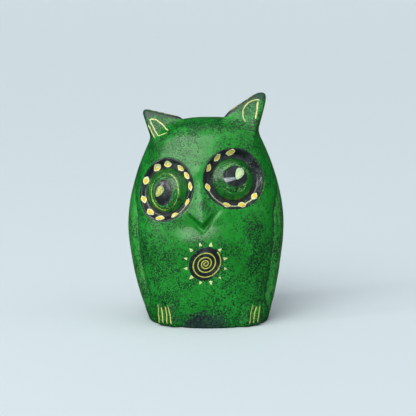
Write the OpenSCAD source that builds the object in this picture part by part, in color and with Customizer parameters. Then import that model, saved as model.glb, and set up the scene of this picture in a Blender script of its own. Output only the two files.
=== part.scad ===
// Seated owl figurine, carved from one block of soft stone, painted and knife-etched.
// Millimetres. +Z is up, the face looks along -Y, and the origin is the middle of the flat base.
// "left" and "right" are those of someone who faces the owl: left is -X.

/* [Overall form] */
// Height of the crown between the ears
crown_h = 78.6; // [76:0.1:94]
// Width across the folded wings at the waist
body_w = 60; // [50:0.5:72]
// Width of the flat base
base_w = 46; // [38:0.5:55]
// Width of the head below the ears
head_w = 41.6; // [35:0.1:50]
// Level of the widest section
waist_z = 38; // [32:0.5:45]
// Level where the crown starts to round over
dome_z = 71.5; // [64:0.5:75]
// Sideways lean of the body off the middle of the base
lean = 1.2; // [0:0.1:3]
// Rounding of the edge round the base
base_round = 0.8; // [0.3:0.1:2]

/* [Depth] */
// Reach of the base in front of the origin
base_front = 19; // [15:0.5:23]
// Reach of the belly in front of the origin
belly_front = 23.5; // [19:0.5:28]
// Level of the fullest part of the belly
belly_z = 30; // [24:1:36]
// Reach of the forehead in front of the origin
brow_front = 14.5; // [12:0.5:18]
// Reach of the base behind the origin
base_back = 17; // [14:0.5:21]
// Reach of the back behind the origin
back_reach = 20.5; // [17:0.5:25]
// Reach of the nape behind the origin
nape_back = 12.5; // [10:0.5:15]

/* [Wings] */
// Thickness of a folded wing over the body
wing_t = 1.6; // [1:0.1:2.4]
// Thickness of a wing along its edge
wing_edge = 0.6; // [0.3:0.1:0.9]
// Level of the wing tips
wing_low_z = 5; // [3:0.5:9]
// Level of the shoulders
wing_top_z = 56; // [48:0.5:62]
// Angle from straight ahead to the wing's front edge
wing_front_deg = 66; // [60:1:72]
// Angle from straight ahead to the wing's back edge
wing_back_deg = 126; // [110:1:140]
// How far round the front edge sweeps forward at the base
wing_sweep_deg = 20; // [0:1:30]

/* [Eyes] */
// Left eye centre, across and up
left_eye_at = [-16.4, 53.6]; // [-30:0.1:70]
// Left eye facing, to the right and upward, in degrees
left_eye_face = [-22, 14]; // [-40:1:40]
// Left eye ring half sizes, across and up, and lean of its top to the right in degrees
left_eye_ring_r = [11, 12.3, 12]; // [-20:0.1:20]
// Right eye centre, across and up
right_eye_at = [9.7, 57.8]; // [-30:0.1:70]
// Right eye facing, to the right and upward, in degrees
right_eye_face = [15, 15]; // [-40:1:40]
// Right eye ring half sizes, across and up, and lean of its top to the right in degrees
right_eye_ring_r = [11.8, 11.6, 0]; // [-20:0.1:20]
// Depth of the ring floor below the face at the eye centre
eye_sink = 3.1; // [2.8:0.1:3.6]
// Thickness of the eye rings behind their floor
eye_ring_t = 1.4; // [1:0.1:2.5]
// Radius of the left iris dome
left_iris_r = 8.6; // [6:0.1:9.2]
// Radius of the right iris dome
right_iris_r = 8.2; // [6:0.1:9.2]
// Height of the iris domes above the ring floor
iris_rise = 3.3; // [1.8:0.1:3.8]
// Left pupil half sizes, across and up
left_pupil_r = [3.7, 4.9]; // [2:0.1:6]
// Left pupil centre on the dome, across and up
left_pupil_off = [-0.6, -1.1]; // [-3:0.1:3]
// Right pupil half sizes, across and up
right_pupil_r = [4.8, 4.1]; // [2:0.1:6]
// Right pupil centre on the dome, across and up
right_pupil_off = [0.6, 0.9]; // [-3:0.1:3]
// Left glint centre on the dome, across and up
left_glint_off = [-1.8, -0.3]; // [-4:0.1:4]
// Right glint centre on the dome, across and up
right_glint_off = [3, 1.6]; // [-4:0.1:4]
// Half width of a glint
glint_r = 1.9; // [1:0.1:2.5]
// Half sizes of the etched ring on the left iris
iris_ring_r = [5.6, 6.9]; // [4:0.1:8]

/* [Beak and ears] */
// Beak centre, across and up
beak_at = [-2.8, 45.8]; // [-10:0.1:60]
// Beak width and length
beak_size = [9.6, 13.2]; // [6:0.1:18]
// How far the beak stands out of the face
beak_rise = 3.4; // [2:0.1:5]
// Left ear, foot of its front face: across, out from the origin and up
left_ear_at = [-17, -9.6, 69]; // [-30:0.1:90]
// Left ear tip from the foot, across and up the front face
left_ear_tip = [-6.6, 13]; // [-15:0.1:25]
// Right ear, foot of its front face: across, out from the origin and up
right_ear_at = [13.5, -11, 69]; // [-30:0.1:90]
// Right ear tip from the foot, across and up the front face
right_ear_tip = [6.9, 21.3]; // [-15:0.1:25]
// Backward slope of the ears' front faces in degrees
ear_slope = 28; // [15:1:40]
// Rounding of the ears at the root
ear_root_r = 4.4; // [3:0.1:6]
// Rounding of the ear tips
ear_tip_r = 1.4; // [1:0.1:2]

/* [Feet] */
// Left foot centre line
left_foot_x = -16.2; // [-20:0.1:-12]
// Right foot centre line
right_foot_x = 16.4; // [12:0.1:20]
// Turn of each foot away from straight ahead in degrees
foot_turn = 36; // [25:1:50]
// Height of a foot
foot_h = 10; // [7:0.5:13]
// Width of a foot
foot_w = 11; // [8:0.5:14]
// How far a foot stands out of the body
foot_rise = 1.2; // [0.6:0.1:2.5]
// Claw lines on the left foot
left_claw_count = 4; // [2:1:5]
// Claw lines on the right foot
right_claw_count = 3; // [2:1:5]
// Distance between claw lines
claw_pitch = 1.9; // [1.2:0.1:2.5]

/* [Chest motif] */
// Middle of the motif, across and up
chest_at = [-1.3, 25.9]; // [-10:0.1:45]
// Half sizes of the dark disc, and lean of its long axis to the right in degrees
chest_r = [6, 6.8, 40]; // [4:0.1:60]
// Turns of the etched spiral
spiral_turns = 4; // [2:0.25:5]
// Rays round the disc
ray_count = 12; // [6:1:16]
// Distance of the rays from the middle
ray_ring_r = 7.9; // [7.4:0.1:10]
// Length and width of a ray
ray_size = [1.9, 1.6]; // [0.8:0.1:3]

/* [Etching] */
// Width of a knife line
line_w = 0.6; // [0.4:0.05:0.9]
// Depth of the etched inlays
etch_depth = 0.6; // [0.3:0.05:0.9]
// Length and width of the lozenges round the eyes
lozenge = [3.1, 2.2]; // [1.5:0.1:4]
// Place of the lozenges between the eye centre and the rim
lozenge_ring = 0.87; // [0.84:0.01:0.88]

/* [Hidden] */

GREEN = [0.07, 0.45, 0.12];
LEAF = [0.12, 0.52, 0.18];
DARK = [0.09, 0.10, 0.12];
YELLOW = [0.88, 0.80, 0.30];
CREAM = [0.86, 0.90, 0.62];

// Exponents of the outline curves: 1 is straight, higher hugs the fullest level
flank_curve = 1.78;
shoulder_curve = 1.83;
belly_curve = 1.8;
face_curve = 1.7;
nape_curve = 2;
// Section shape: 2 is an ellipse, higher is squarer
base_section = 2.1;
head_section = 2.6;
crown_section = 2.6;
crown_depth_section = 2.2;

// Rows of the skin
LOW_ROWS = 2;
WING_ROWS = 13;
HEAD_ROWS = 5;
DOME_ROWS = 6;
DOME_END_DEG = 77;
// Columns of half a ring of the skin
FRONT_COLUMNS = 8;
WING_COLUMNS = 6;
BACK_COLUMNS = 5;
HALF = FRONT_COLUMNS + WING_COLUMNS + BACK_COLUMNS;
RING = 2 * HALF;
WING_FIRST_ROW = 1 + LOW_ROWS;
WING_LAST_ROW = WING_FIRST_ROW + WING_ROWS;
WING_LAST_COLUMN = FRONT_COLUMNS + WING_COLUMNS;

// Depths of the inlays in the iris domes, from the top of the dome
pupil_depth = 2.4;
glint_depth = 1.3;
ring_depth = 2.9;
// Depths of the inlays in the chest, from its skin
disc_depth = 2.4;
spiral_depth = 1.6;

// Angles round each eye, anticlockwise from the right, where a lozenge is etched
left_lozenge_deg = [10, 36, 61, 96, 123, 161, 200, 233, 262, 297, 336];
right_lozenge_deg = [92, 123, 153, 195, 251, 285, 318];
// Start and end of the thin line that links some of the right eye's lozenges
right_link_deg = [200, 318];

OVAL_SIDES = 48;
// How far cutters reach out past the skin
SKIN_CLEAR = 12;
// Side of the cube that keeps only what is above the base
ABOVE_BASE = 200;

// ---- Outline of the stone ----

function rise(t, curve) = 1 - pow(1 - t, curve);

function lower(z, top, foot, full, curve) = foot + (full - foot) * rise(z / top, curve);

function upper(z, start, end, full, last, curve) =
    full - (full - last) * pow((z - start) / (end - start), curve);

function dome(z, section) =
    z <= dome_z ? 1
    : pow(max(0, 1 - pow((z - dome_z) / dome_full, section)), 1 / section);

// The dome's own height: its last ring is cut off flat at the crown
dome_full = (crown_h - dome_z) / sin(DOME_END_DEG);

function half_w(z) =
    dome(z, crown_section) * (z < waist_z
        ? lower(z, waist_z, base_w / 2, body_w / 2, flank_curve)
        : upper(z, waist_z, dome_z, body_w / 2, head_w / 2, shoulder_curve));

function front_reach(z) =
    dome(z, crown_depth_section) * (z < belly_z
        ? lower(z, belly_z, base_front, belly_front, belly_curve)
        : upper(z, belly_z, dome_z, belly_front, brow_front, face_curve));

function rear_reach(z) =
    dome(z, crown_depth_section) * (z < waist_z
        ? lower(z, waist_z, base_back, back_reach, belly_curve)
        : upper(z, waist_z, dome_z, back_reach, nape_back, nape_curve));

function section(z) =
    base_section + (head_section - base_section) * pow(z / crown_h, 1.5);

function middle_x(z) = -lean * (1 - pow(max(0, 1 - z / waist_z), 2));

// Distance from the section's middle to the skin at an angle from straight ahead
function reach(z, angle) =
    let (
        depth = cos(angle) > 0 ? front_reach(z) : rear_reach(z),
        n = section(z)
    )
    pow(pow(abs(sin(angle)) / half_w(z), n) + pow(abs(cos(angle)) / depth, n), -1 / n);

function skin(z, angle, inset) =
    let (r = reach(z, angle) - inset)
    [middle_x(z) + r * sin(angle), -r * cos(angle), z];

// The front skin straight ahead of a point that is x across and z up
function front_y(x, z) =
    let (n = section(z))
    -front_reach(z) * pow(max(0, 1 - pow(abs(x - middle_x(z)) / half_w(z), n)), 1 / n);

// ---- The net of rows and columns that body and wings share ----

function steps(from, to, count) = [for (i = [1:count]) from + (to - from) * i / count];

LEVELS = concat(
    [0, base_round],
    steps(base_round, wing_low_z, LOW_ROWS),
    steps(wing_low_z, wing_top_z, WING_ROWS),
    steps(wing_top_z, dome_z, HEAD_ROWS),
    [for (i = [1:DOME_ROWS])
        dome_z + (crown_h - dome_z) * sin(DOME_END_DEG * i / DOME_ROWS) / sin(DOME_END_DEG)]
);
ROWS = len(LEVELS);

// Share of the wing's full spread at a level: it rounds in at the shoulder and the tip
function spread(z) =
    let (
        mid = (wing_top_z + wing_low_z) / 2,
        half = (wing_top_z - wing_low_z) / 2,
        t = min(1, abs(z - mid) / half)
    )
    max(0.5, pow(1 - pow(t, 3.5), 1 / 2.4));

function wing_mid(z) = (wing_front_deg + wing_back_deg) / 2
    - wing_sweep_deg * pow(max(0, 1 - z / waist_z), 3);

function wing_half(z) = spread(z) * (wing_back_deg - wing_front_deg) / 2;

function column_deg(column, z) =
    let (first = wing_mid(z) - wing_half(z), last = wing_mid(z) + wing_half(z))
    column <= FRONT_COLUMNS ? first * column / FRONT_COLUMNS
    : column <= WING_LAST_COLUMN ? first + (last - first) * (column - FRONT_COLUMNS) / WING_COLUMNS
    : last + (180 - last) * (column - WING_LAST_COLUMN) / BACK_COLUMNS;

// Steps in from the wing's edge: 0 on the edge, negative outside the wing
function wing_steps(row, column) =
    min(row - WING_FIRST_ROW, WING_LAST_ROW - row,
        column - FRONT_COLUMNS, WING_LAST_COLUMN - column);

// How deep the body lies under the outline: the wing's seat, with a soft lip round it
function seat(row, column) =
    let (in = wing_steps(row, column))
    row == 0 ? base_round : in >= 0 ? wing_t : in == -1 ? wing_t / 4 : 0;

// How deep the wing's outer face lies under the outline
function feather(row, column) =
    let (in = wing_steps(row, column))
    in == 0 ? wing_t - wing_edge : in == 1 ? wing_t / 8 : 0;

function net_point(row, column, side, inset) =
    skin(LEVELS[row], side * column_deg(column, LEVELS[row]), inset);

function tile(a, b, c, d) = [[a, b, c], [a, c, d]];

// The whole stone without ears, beak, feet and wings
module stone() {
    points = [
        for (row = [0:ROWS - 1]) for (j = [0:RING - 1])
            let (column = j <= HALF ? j : RING - j, side = j <= HALF ? 1 : -1)
            net_point(row, column, side, seat(row, column))
    ];
    walls = [
        for (row = [0:ROWS - 2]) for (j = [0:RING - 1])
            // each wall is cut along the diagonal that the wing's inner face uses
            let (k = (j + 1) % RING, low = row * RING, high = low + RING)
            each j < HALF
                ? tile(low + k, low + j, high + j, high + k)
                : tile(low + j, high + j, high + k, low + k)
    ];
    foot = [for (j = [0:RING - 1]) j];
    cap = [for (j = [RING - 1:-1:0]) (ROWS - 1) * RING + j];
    polyhedron(points, concat(walls, [foot, cap]));
}

// One folded wing, whose inner face is the body's own seat
module wing(side) {
    rows = WING_ROWS + 1;
    columns = WING_COLUMNS + 1;
    inner = rows * columns;
    net = [for (i = [0:rows - 1]) for (c = [0:columns - 1]) [WING_FIRST_ROW + i, FRONT_COLUMNS + c]];
    points = concat(
        [for (p = net) net_point(p[0], p[1], side, feather(p[0], p[1]))],
        [for (p = net) net_point(p[0], p[1], side, seat(p[0], p[1]))]
    );
    outer_face = [
        for (i = [0:rows - 2]) for (c = [0:columns - 2])
            let (a = i * columns + c, b = a + columns)
            each tile(a, b, b + 1, a + 1)
    ];
    inner_face = [
        for (i = [0:rows - 2]) for (c = [0:columns - 2])
            let (a = inner + i * columns + c, b = a + columns)
            each tile(a + 1, b + 1, b, a)
    ];
    rim = concat(
        [for (c = [0:columns - 1]) c],
        [for (i = [1:rows - 1]) i * columns + columns - 1],
        [for (c = [columns - 2:-1:0]) (rows - 1) * columns + c],
        [for (i = [rows - 2:-1:1]) i * columns]
    );
    edge_face = [
        for (k = [0:len(rim) - 1])
            let (a = rim[k], b = rim[(k + 1) % len(rim)])
            each tile(a, b, b + inner, a + inner)
    ];
    faces = concat(outer_face, inner_face, edge_face);
    polyhedron(points, side > 0 ? faces : [for (f = faces) [f[2], f[1], f[0]]]);
}

// ---- Places and outlines for what is set into the stone ----

// Local z looks out of the stone: turned to the right by turn, upward by tip
module facing(at, turn, tip) {
    translate(at) rotate([90 - tip, 0, turn]) children();
}

module on_front(at, face) {
    facing([at[0], front_y(at[0], at[1]), at[1]], face[0], face[1]) children();
}

module plug(from, to) {
    translate([0, 0, from]) linear_extrude(to - from) children();
}

function oval_path(rx, ry, from = 0, to = 360, count = OVAL_SIDES) =
    [for (i = [0:count]) let (a = from + (to - from) * i / count) [rx * cos(a), ry * sin(a)]];

module oval(r) {
    path = oval_path(r[0], r[1]);
    polygon([for (i = [0:OVAL_SIDES - 1]) path[i]]);
}

function unit(v) = v / norm(v);

function across(path, i) =
    let (
        last = len(path) - 1,
        run = unit(path[min(i + 1, last)] - path[max(i - 1, 0)])
    )
    [-run[1], run[0]];

// A knife line of even width along a path
module line(path, w = line_w) {
    side = [for (i = [0:len(path) - 1]) across(path, i) * w / 2];
    polygon(concat(
        [for (i = [0:len(path) - 1]) path[i] + side[i]],
        [for (i = [len(path) - 1:-1:0]) path[i] - side[i]]
    ));
}

module ring_line(rx, ry, w = line_w) {
    difference() {
        oval([rx + w / 2, ry + w / 2]);
        oval([rx - w / 2, ry - w / 2]);
    }
}

// A pointed scrape, rounder at one end
module scrape(length, w) {
    polygon([
        [-length / 2, 0], [-length / 4, -w / 2.3], [length / 5, -w / 2],
        [length / 2, 0], [length / 5, w / 2], [-length / 4, w / 2.3]
    ]);
}

// ---- Eyes ----

module left_eye() { on_front(left_eye_at, left_eye_face) children(); }
module right_eye() { on_front(right_eye_at, right_eye_face) children(); }

module eye_outline(ring_r) { rotate(-ring_r[2]) oval(ring_r); }

module eye_socket(ring_r) {
    plug(-eye_sink - eye_ring_t, SKIN_CLEAR) eye_outline(ring_r);
}

module lozenges(ring_r, angles) {
    for (a = angles) {
        path = oval_path(ring_r[0] * lozenge_ring, ring_r[1] * lozenge_ring,
            a + ring_r[2] - 1, a + ring_r[2] + 1, 2);
        run = path[2] - path[0];
        rotate(-ring_r[2]) translate(path[1]) rotate(atan2(run[1], run[0]))
            scrape(lozenge[0], lozenge[1]);
    }
}

module left_marks() { lozenges(left_eye_ring_r, left_lozenge_deg); }

module right_marks() {
    lozenges(right_eye_ring_r, right_lozenge_deg);
    line(oval_path(right_eye_ring_r[0] * lozenge_ring, right_eye_ring_r[1] * lozenge_ring,
        right_link_deg[0], right_link_deg[1], 20), line_w * 0.7);
}

module eye_marks_inlay() { plug(-eye_sink - etch_depth, -eye_sink) children(); }

module iris_post(iris_r) {
    translate([0, 0, -eye_sink - eye_ring_t - 1])
        cylinder(r = iris_r, h = eye_ring_t + 2, $fn = 64);
}

module eye_ring(ring_r, iris_r) {
    difference() {
        plug(-eye_sink - eye_ring_t, -eye_sink) eye_outline(ring_r);
        iris_post(iris_r);
        eye_marks_inlay() children();
    }
}

module eye_marks(iris_r) {
    difference() {
        eye_marks_inlay() children();
        iris_post(iris_r);
    }
}

// Radius of the ball whose cap has the iris's radius and rise
function ball_r(iris_r) = (iris_r * iris_r + iris_rise * iris_rise) / (2 * iris_rise);

module iris_dome(iris_r) {
    intersection() {
        translate([0, 0, -eye_sink - eye_ring_t])
            cylinder(r = iris_r, h = eye_ring_t + iris_rise + 1, $fn = 64);
        translate([0, 0, iris_rise - eye_sink - ball_r(iris_r)])
            sphere(r = ball_r(iris_r), $fn = 96);
    }
}

// The painted and etched skin of the dome, down to a flat seat
module dome_inlay(iris_r, depth) {
    intersection() {
        iris_dome(iris_r);
        plug(iris_rise - eye_sink - depth, SKIN_CLEAR) children();
    }
}

module pupil_outline(off, r) { translate(off) oval(r); }

module glint_outline(off) {
    translate(off) rotate(65) scrape(glint_r * 2.5, glint_r * 2);
}

module iris(iris_r) {
    difference() {
        iris_dome(iris_r);
        children();
    }
}

module left_iris_ring_outline() {
    translate([-0.2, -0.6]) ring_line(iris_ring_r[0], iris_ring_r[1]);
}

// ---- Ears and feet: rounded tufts with a flat front face ----

// Balls that all touch the local plane z = 0 from behind, wrapped in one skin
module tuft(balls) {
    hull() {
        for (b = balls) translate([b[0], b[1], -b[2]]) sphere(r = b[2], $fn = 24);
    }
}

module left_ear() { facing(left_ear_at, 0, ear_slope) children(); }
module right_ear() { facing(right_ear_at, 0, ear_slope) children(); }

module left_ear_blank() {
    left_ear() tuft([
        [left_ear_tip[0], left_ear_tip[1], ear_tip_r],
        [4.2, 7.4, ear_root_r], [-0.6, 2, ear_root_r], [6, -1, ear_root_r]
    ]);
}

module right_ear_blank() {
    right_ear() tuft([
        [right_ear_tip[0], right_ear_tip[1], ear_tip_r],
        [-4.8, 7, ear_root_r], [1.6, 3.6, ear_root_r], [-4, -1, ear_root_r]
    ]);
}

module left_ear_lines() {
    line([[-5.9, 10.9], [-3.6, 11], [-0.6, 9.2], [1.4, 6.4]], line_w * 1.3);
    line([[-5.9, 10.9], [-4.8, 7.3], [-2.2, 4.2], [0.6, 4.6], [1.5, 6.2]]);
    line([[-7.1, 10.2], [-4, 3.4]], line_w * 0.7);
}

module right_ear_lines() {
    translate([5.2, 13]) line(oval_path(5.9, 5.8, 85, 215, 10));
    line([[5.4, 18.2], [4.4, 11]], line_w * 1.3);
}

module ear_lines_inlay() { plug(-etch_depth, 1) children(); }

module foot_place(x, side) {
    y = front_y(x, foot_h / 3);
    facing([x, y, 0] + foot_rise * [side * sin(foot_turn), -cos(foot_turn), 0],
        side * foot_turn, 0) children();
}

module foot_blank(x, side) {
    toe_r = foot_h / 3;
    top_r = foot_h / 5;
    intersection() {
        foot_place(x, side) tuft([
            for (s = [-1, 1]) [s * (foot_w / 2 - toe_r), toe_r * 0.8, toe_r],
            for (s = [-1, 1]) [s * (foot_w / 3 - top_r / 2), foot_h - top_r, top_r]
        ]);
        translate([-ABOVE_BASE / 2, -ABOVE_BASE / 2, 0]) cube(ABOVE_BASE);
    }
}

module claw_lines(count) {
    for (i = [0:count - 1]) {
        u = (i - (count - 1) / 2) * claw_pitch;
        polygon([
            [u - line_w / 2, foot_h * 0.2], [u + line_w / 2, foot_h * 0.2],
            [u * 0.7 + line_w / 2, foot_h * 0.82], [u * 0.7 - line_w / 2, foot_h * 0.82]
        ]);
    }
}

module claw_inlay(x, side, count) {
    foot_place(x, side) plug(-etch_depth, 1) claw_lines(count);
}

module foot(x, side, count) {
    difference() {
        foot_blank(x, side);
        stone();
        claw_inlay(x, side, count);
    }
}

module claws(x, side, count) {
    difference() {
        intersection() {
            foot_blank(x, side);
            claw_inlay(x, side, count);
        }
        stone();
    }
}

// ---- Beak ----

module beak_blank() {
    w = beak_size[0] / 2;
    h = beak_size[1] / 2;
    on_front(beak_at, [0, 6]) hull() {
        for (p = [
            [-0.3, h, -0.6], [-w, -0.5, -0.8], [w, -0.2, -0.8], [0.5, -h, 0.6],
            [0, 0, beak_rise], [0.3, -h * 0.6, beak_rise]
        ]) translate([p[0], p[1], p[2] - 0.5]) sphere(r = 0.5, $fn = 12);
    }
}

// ---- Chest ----

module on_chest() { on_front(chest_at, [0, 0]) children(); }

module chest_outline() { rotate(-chest_r[2]) oval(chest_r); }

// The part of the stone's skin inside an outline, down to a flat seat
module skin_inlay(depth) {
    intersection() {
        stone();
        on_chest() plug(-depth, SKIN_CLEAR) children();
    }
}

module spiral_outline() {
    path = [
        for (a = [90:15:360 * spiral_turns + 90])
            let (t = (a - 90) / (360 * spiral_turns), r = 0.35 + 0.53 * t)
            [chest_r[0] * (r * t + 0.06) * cos(a), chest_r[1] * (r * t + 0.06) * sin(a)]
    ];
    rotate(-chest_r[2]) line(path);
}

module ray_outline() {
    polygon([
        [-ray_size[0] / 2, -ray_size[1] / 2],
        [ray_size[0] / 2, 0],
        [-ray_size[0] / 2, ray_size[1] / 2]
    ]);
}

// ---- Sub-parts ----

module body() {
    color(GREEN) difference() {
        stone();
        left_eye() eye_socket(left_eye_ring_r);
        right_eye() eye_socket(right_eye_ring_r);
        on_chest() plug(-disc_depth, SKIN_CLEAR) chest_outline();
        ray_cutters();
    }
}

module ray_cutters() {
    for (i = [0:ray_count - 1]) {
        a = 360 * (i + 0.5) / ray_count;
        x = chest_at[0] + ray_ring_r * cos(a);
        z = chest_at[1] + ray_ring_r * sin(a);
        on_front([x, z], [0, 0]) rotate(a) plug(-etch_depth, 3) ray_outline();
    }
}

module chest_disc() {
    color(DARK) difference() {
        skin_inlay(disc_depth) chest_outline();
        on_chest() plug(-spiral_depth, SKIN_CLEAR) spiral_outline();
    }
}

module chest_spiral() {
    color(YELLOW) skin_inlay(spiral_depth) spiral_outline();
}

module chest_rays() {
    color(YELLOW) intersection() {
        stone();
        ray_cutters();
    }
}

module left_wing() { color(LEAF) wing(-1); }
module right_wing() { color(LEAF) wing(1); }

module left_ear_tuft() {
    color(GREEN) difference() {
        left_ear_blank();
        stone();
        left_ear() ear_lines_inlay() left_ear_lines();
    }
}

module right_ear_tuft() {
    color(GREEN) difference() {
        right_ear_blank();
        stone();
        right_ear() ear_lines_inlay() right_ear_lines();
    }
}

module left_ear_strokes() {
    color(CREAM) difference() {
        intersection() {
            left_ear_blank();
            left_ear() ear_lines_inlay() left_ear_lines();
        }
        stone();
    }
}

module right_ear_strokes() {
    color(CREAM) difference() {
        intersection() {
            right_ear_blank();
            right_ear() ear_lines_inlay() right_ear_lines();
        }
        stone();
    }
}

module beak() {
    color(LEAF) difference() {
        beak_blank();
        stone();
    }
}

module left_foot() { color(GREEN) foot(left_foot_x, -1, left_claw_count); }
module right_foot() { color(GREEN) foot(right_foot_x, 1, right_claw_count); }
module left_claws() { color(YELLOW) claws(left_foot_x, -1, left_claw_count); }
module right_claws() { color(YELLOW) claws(right_foot_x, 1, right_claw_count); }

module left_eye_ring() {
    color(DARK) left_eye() eye_ring(left_eye_ring_r, left_iris_r) left_marks();
}

module right_eye_ring() {
    color(DARK) right_eye() eye_ring(right_eye_ring_r, right_iris_r) right_marks();
}

module left_eye_marks() { color(YELLOW) left_eye() eye_marks(left_iris_r) left_marks(); }
module right_eye_marks() { color(YELLOW) right_eye() eye_marks(right_iris_r) right_marks(); }

module left_iris() {
    color(LEAF) left_eye() iris(left_iris_r) {
        plug(iris_rise - eye_sink - pupil_depth, SKIN_CLEAR) pupil_outline(left_pupil_off, left_pupil_r);
        plug(iris_rise - eye_sink - ring_depth, SKIN_CLEAR) left_iris_ring_outline();
    }
}

module right_iris() {
    color(LEAF) right_eye() iris(right_iris_r) {
        plug(iris_rise - eye_sink - pupil_depth, SKIN_CLEAR) pupil_outline(right_pupil_off, right_pupil_r);
    }
}

module left_iris_ring() {
    color(YELLOW) left_eye() dome_inlay(left_iris_r, ring_depth) left_iris_ring_outline();
}

module left_pupil() {
    color(DARK) left_eye() difference() {
        dome_inlay(left_iris_r, pupil_depth) pupil_outline(left_pupil_off, left_pupil_r);
        plug(iris_rise - eye_sink - glint_depth, SKIN_CLEAR) glint_outline(left_glint_off);
    }
}

module right_pupil() {
    color(DARK) right_eye() difference() {
        dome_inlay(right_iris_r, pupil_depth) pupil_outline(right_pupil_off, right_pupil_r);
        plug(iris_rise - eye_sink - glint_depth, SKIN_CLEAR) glint_outline(right_glint_off);
    }
}

module left_glint() {
    color(CREAM) left_eye() dome_inlay(left_iris_r, glint_depth) glint_outline(left_glint_off);
}

module right_glint() {
    color(CREAM) right_eye() dome_inlay(right_iris_r, glint_depth) glint_outline(right_glint_off);
}

body();
left_wing();
right_wing();
left_ear_tuft();
right_ear_tuft();
beak();
left_foot();
right_foot();
left_eye_ring();
right_eye_ring();
left_iris();
right_iris();
left_iris_ring();
left_pupil();
right_pupil();
left_glint();
right_glint();
left_eye_marks();
right_eye_marks();
left_ear_strokes();
right_ear_strokes();
chest_disc();
chest_spiral();
chest_rays();
left_claws();
right_claws();
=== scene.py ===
"""Small seated owl, carved from one block of soft stone, painted green and varnished.

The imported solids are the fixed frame. One skin is worked out from the outline of the
stone, split along the carved features, and dressed with eyes, chest motif and scratched
marks. Shapes are worked out in millimetres and written to the scene in metres.
"""

import logging
import math
from collections.abc import Callable
from dataclasses import dataclass, field
from enum import Enum
from functools import partial

import bpy
import numpy as np
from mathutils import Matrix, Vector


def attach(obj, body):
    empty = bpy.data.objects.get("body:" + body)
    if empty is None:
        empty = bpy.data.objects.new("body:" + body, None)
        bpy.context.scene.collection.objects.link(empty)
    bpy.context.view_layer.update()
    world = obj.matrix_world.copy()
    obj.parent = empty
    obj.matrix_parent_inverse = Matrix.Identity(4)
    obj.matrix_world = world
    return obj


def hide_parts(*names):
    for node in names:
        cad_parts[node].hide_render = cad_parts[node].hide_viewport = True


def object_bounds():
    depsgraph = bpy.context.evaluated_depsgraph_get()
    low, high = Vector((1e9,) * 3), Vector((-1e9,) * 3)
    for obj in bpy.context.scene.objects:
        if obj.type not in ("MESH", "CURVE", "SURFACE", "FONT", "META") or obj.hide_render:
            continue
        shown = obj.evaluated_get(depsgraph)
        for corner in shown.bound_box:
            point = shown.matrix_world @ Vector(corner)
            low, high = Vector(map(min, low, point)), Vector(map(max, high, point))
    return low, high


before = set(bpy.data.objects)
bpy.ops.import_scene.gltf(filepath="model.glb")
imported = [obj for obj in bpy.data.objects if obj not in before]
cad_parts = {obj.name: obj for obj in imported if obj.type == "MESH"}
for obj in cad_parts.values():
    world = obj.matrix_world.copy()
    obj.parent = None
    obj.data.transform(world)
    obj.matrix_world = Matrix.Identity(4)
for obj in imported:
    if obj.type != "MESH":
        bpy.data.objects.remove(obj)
CAD_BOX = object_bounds()

MM = 0.001
ROOT = "root"

log = logging.getLogger("owl")

Array = np.ndarray
Rule = Callable[[Array], Array]
Pair = tuple[float, float]
Place = tuple[float, float, float]
Color = tuple[float, float, float, float]
Flat = tuple[float, float, float, float]
Faces = list[tuple[int, ...]]
Marks = dict[str, Array]
Material = bpy.types.Material
Socket = bpy.types.NodeSocket
Value = Socket | float | Color


class Slot(Enum):
    """Material slots of the record."""

    GREEN = "green_stone"
    WING = "wing_green"
    IRIS = "iris_green"
    DARK = "dark_paint"
    YELLOW = "etched_yellow"
    CREAM = "etched_cream"


class Seam(Enum):
    """How a carved feature is closed where it meets the body."""

    PLUG = "plug"
    SHELL = "shell"


Finishes = dict[Slot, Material]


# ---- Small sums used by every shape ----


def smooth_union(a: Array, b: Array, k: float) -> Array:
    """Joins two distance fields with a fillet.

    Args:
        a: First field, in mm.
        b: Second field, in mm.
        k: Width of the fillet, in mm.

    Returns:
        The joined field.
    """
    h = np.maximum(k - np.abs(a - b), 0) / k
    return np.minimum(a, b) - h * h * k / 4


def smooth_cut(a: Array, b: Array, k: float) -> Array:
    """Keeps what lies inside both fields, with a rounded edge of width k."""
    return -smooth_union(-a, -b, k)


def smooth_step(low: float, high: float, x: Array) -> Array:
    """Runs from 0 at low to 1 at high, level at both ends."""
    t = np.clip((x - low) / (high - low), 0, 1)
    return t * t * (3 - 2 * t)


def hill(x: Array, middle: float, width: float) -> Array:
    """A bell curve that is 1 at the middle and falls off over the width."""
    return np.exp(-(((x - middle) / width) ** 2))


def round_cone(p: Array, a: Array, b: Array, ra: float, rb: float) -> Array:
    """Distance to a rod whose radius changes from one end to the other.

    Args:
        p: Points, one per row.
        a: One end of the rod's middle line.
        b: The other end.
        ra: Radius at a.
        rb: Radius at b.

    Returns:
        The signed distance of each point.
    """
    run = b - a
    t = np.clip((p - a) @ run / (run @ run), 0, 1)
    return np.linalg.norm(p - a - t[:, None] * run, axis=1) - (ra + (rb - ra) * t)


def gradient(f: Rule, p: Array, step: float = 0.04) -> Array:
    """Slope of a field at each point.

    Args:
        f: A function of points.
        p: Points, one per row.
        step: Length of the test steps, in mm.

    Returns:
        One vector per point.
    """
    here = f(p)
    sides = [(f(p + step * axis) - here) / step for axis in np.eye(3)]
    return np.stack(sides, axis=1)


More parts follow.
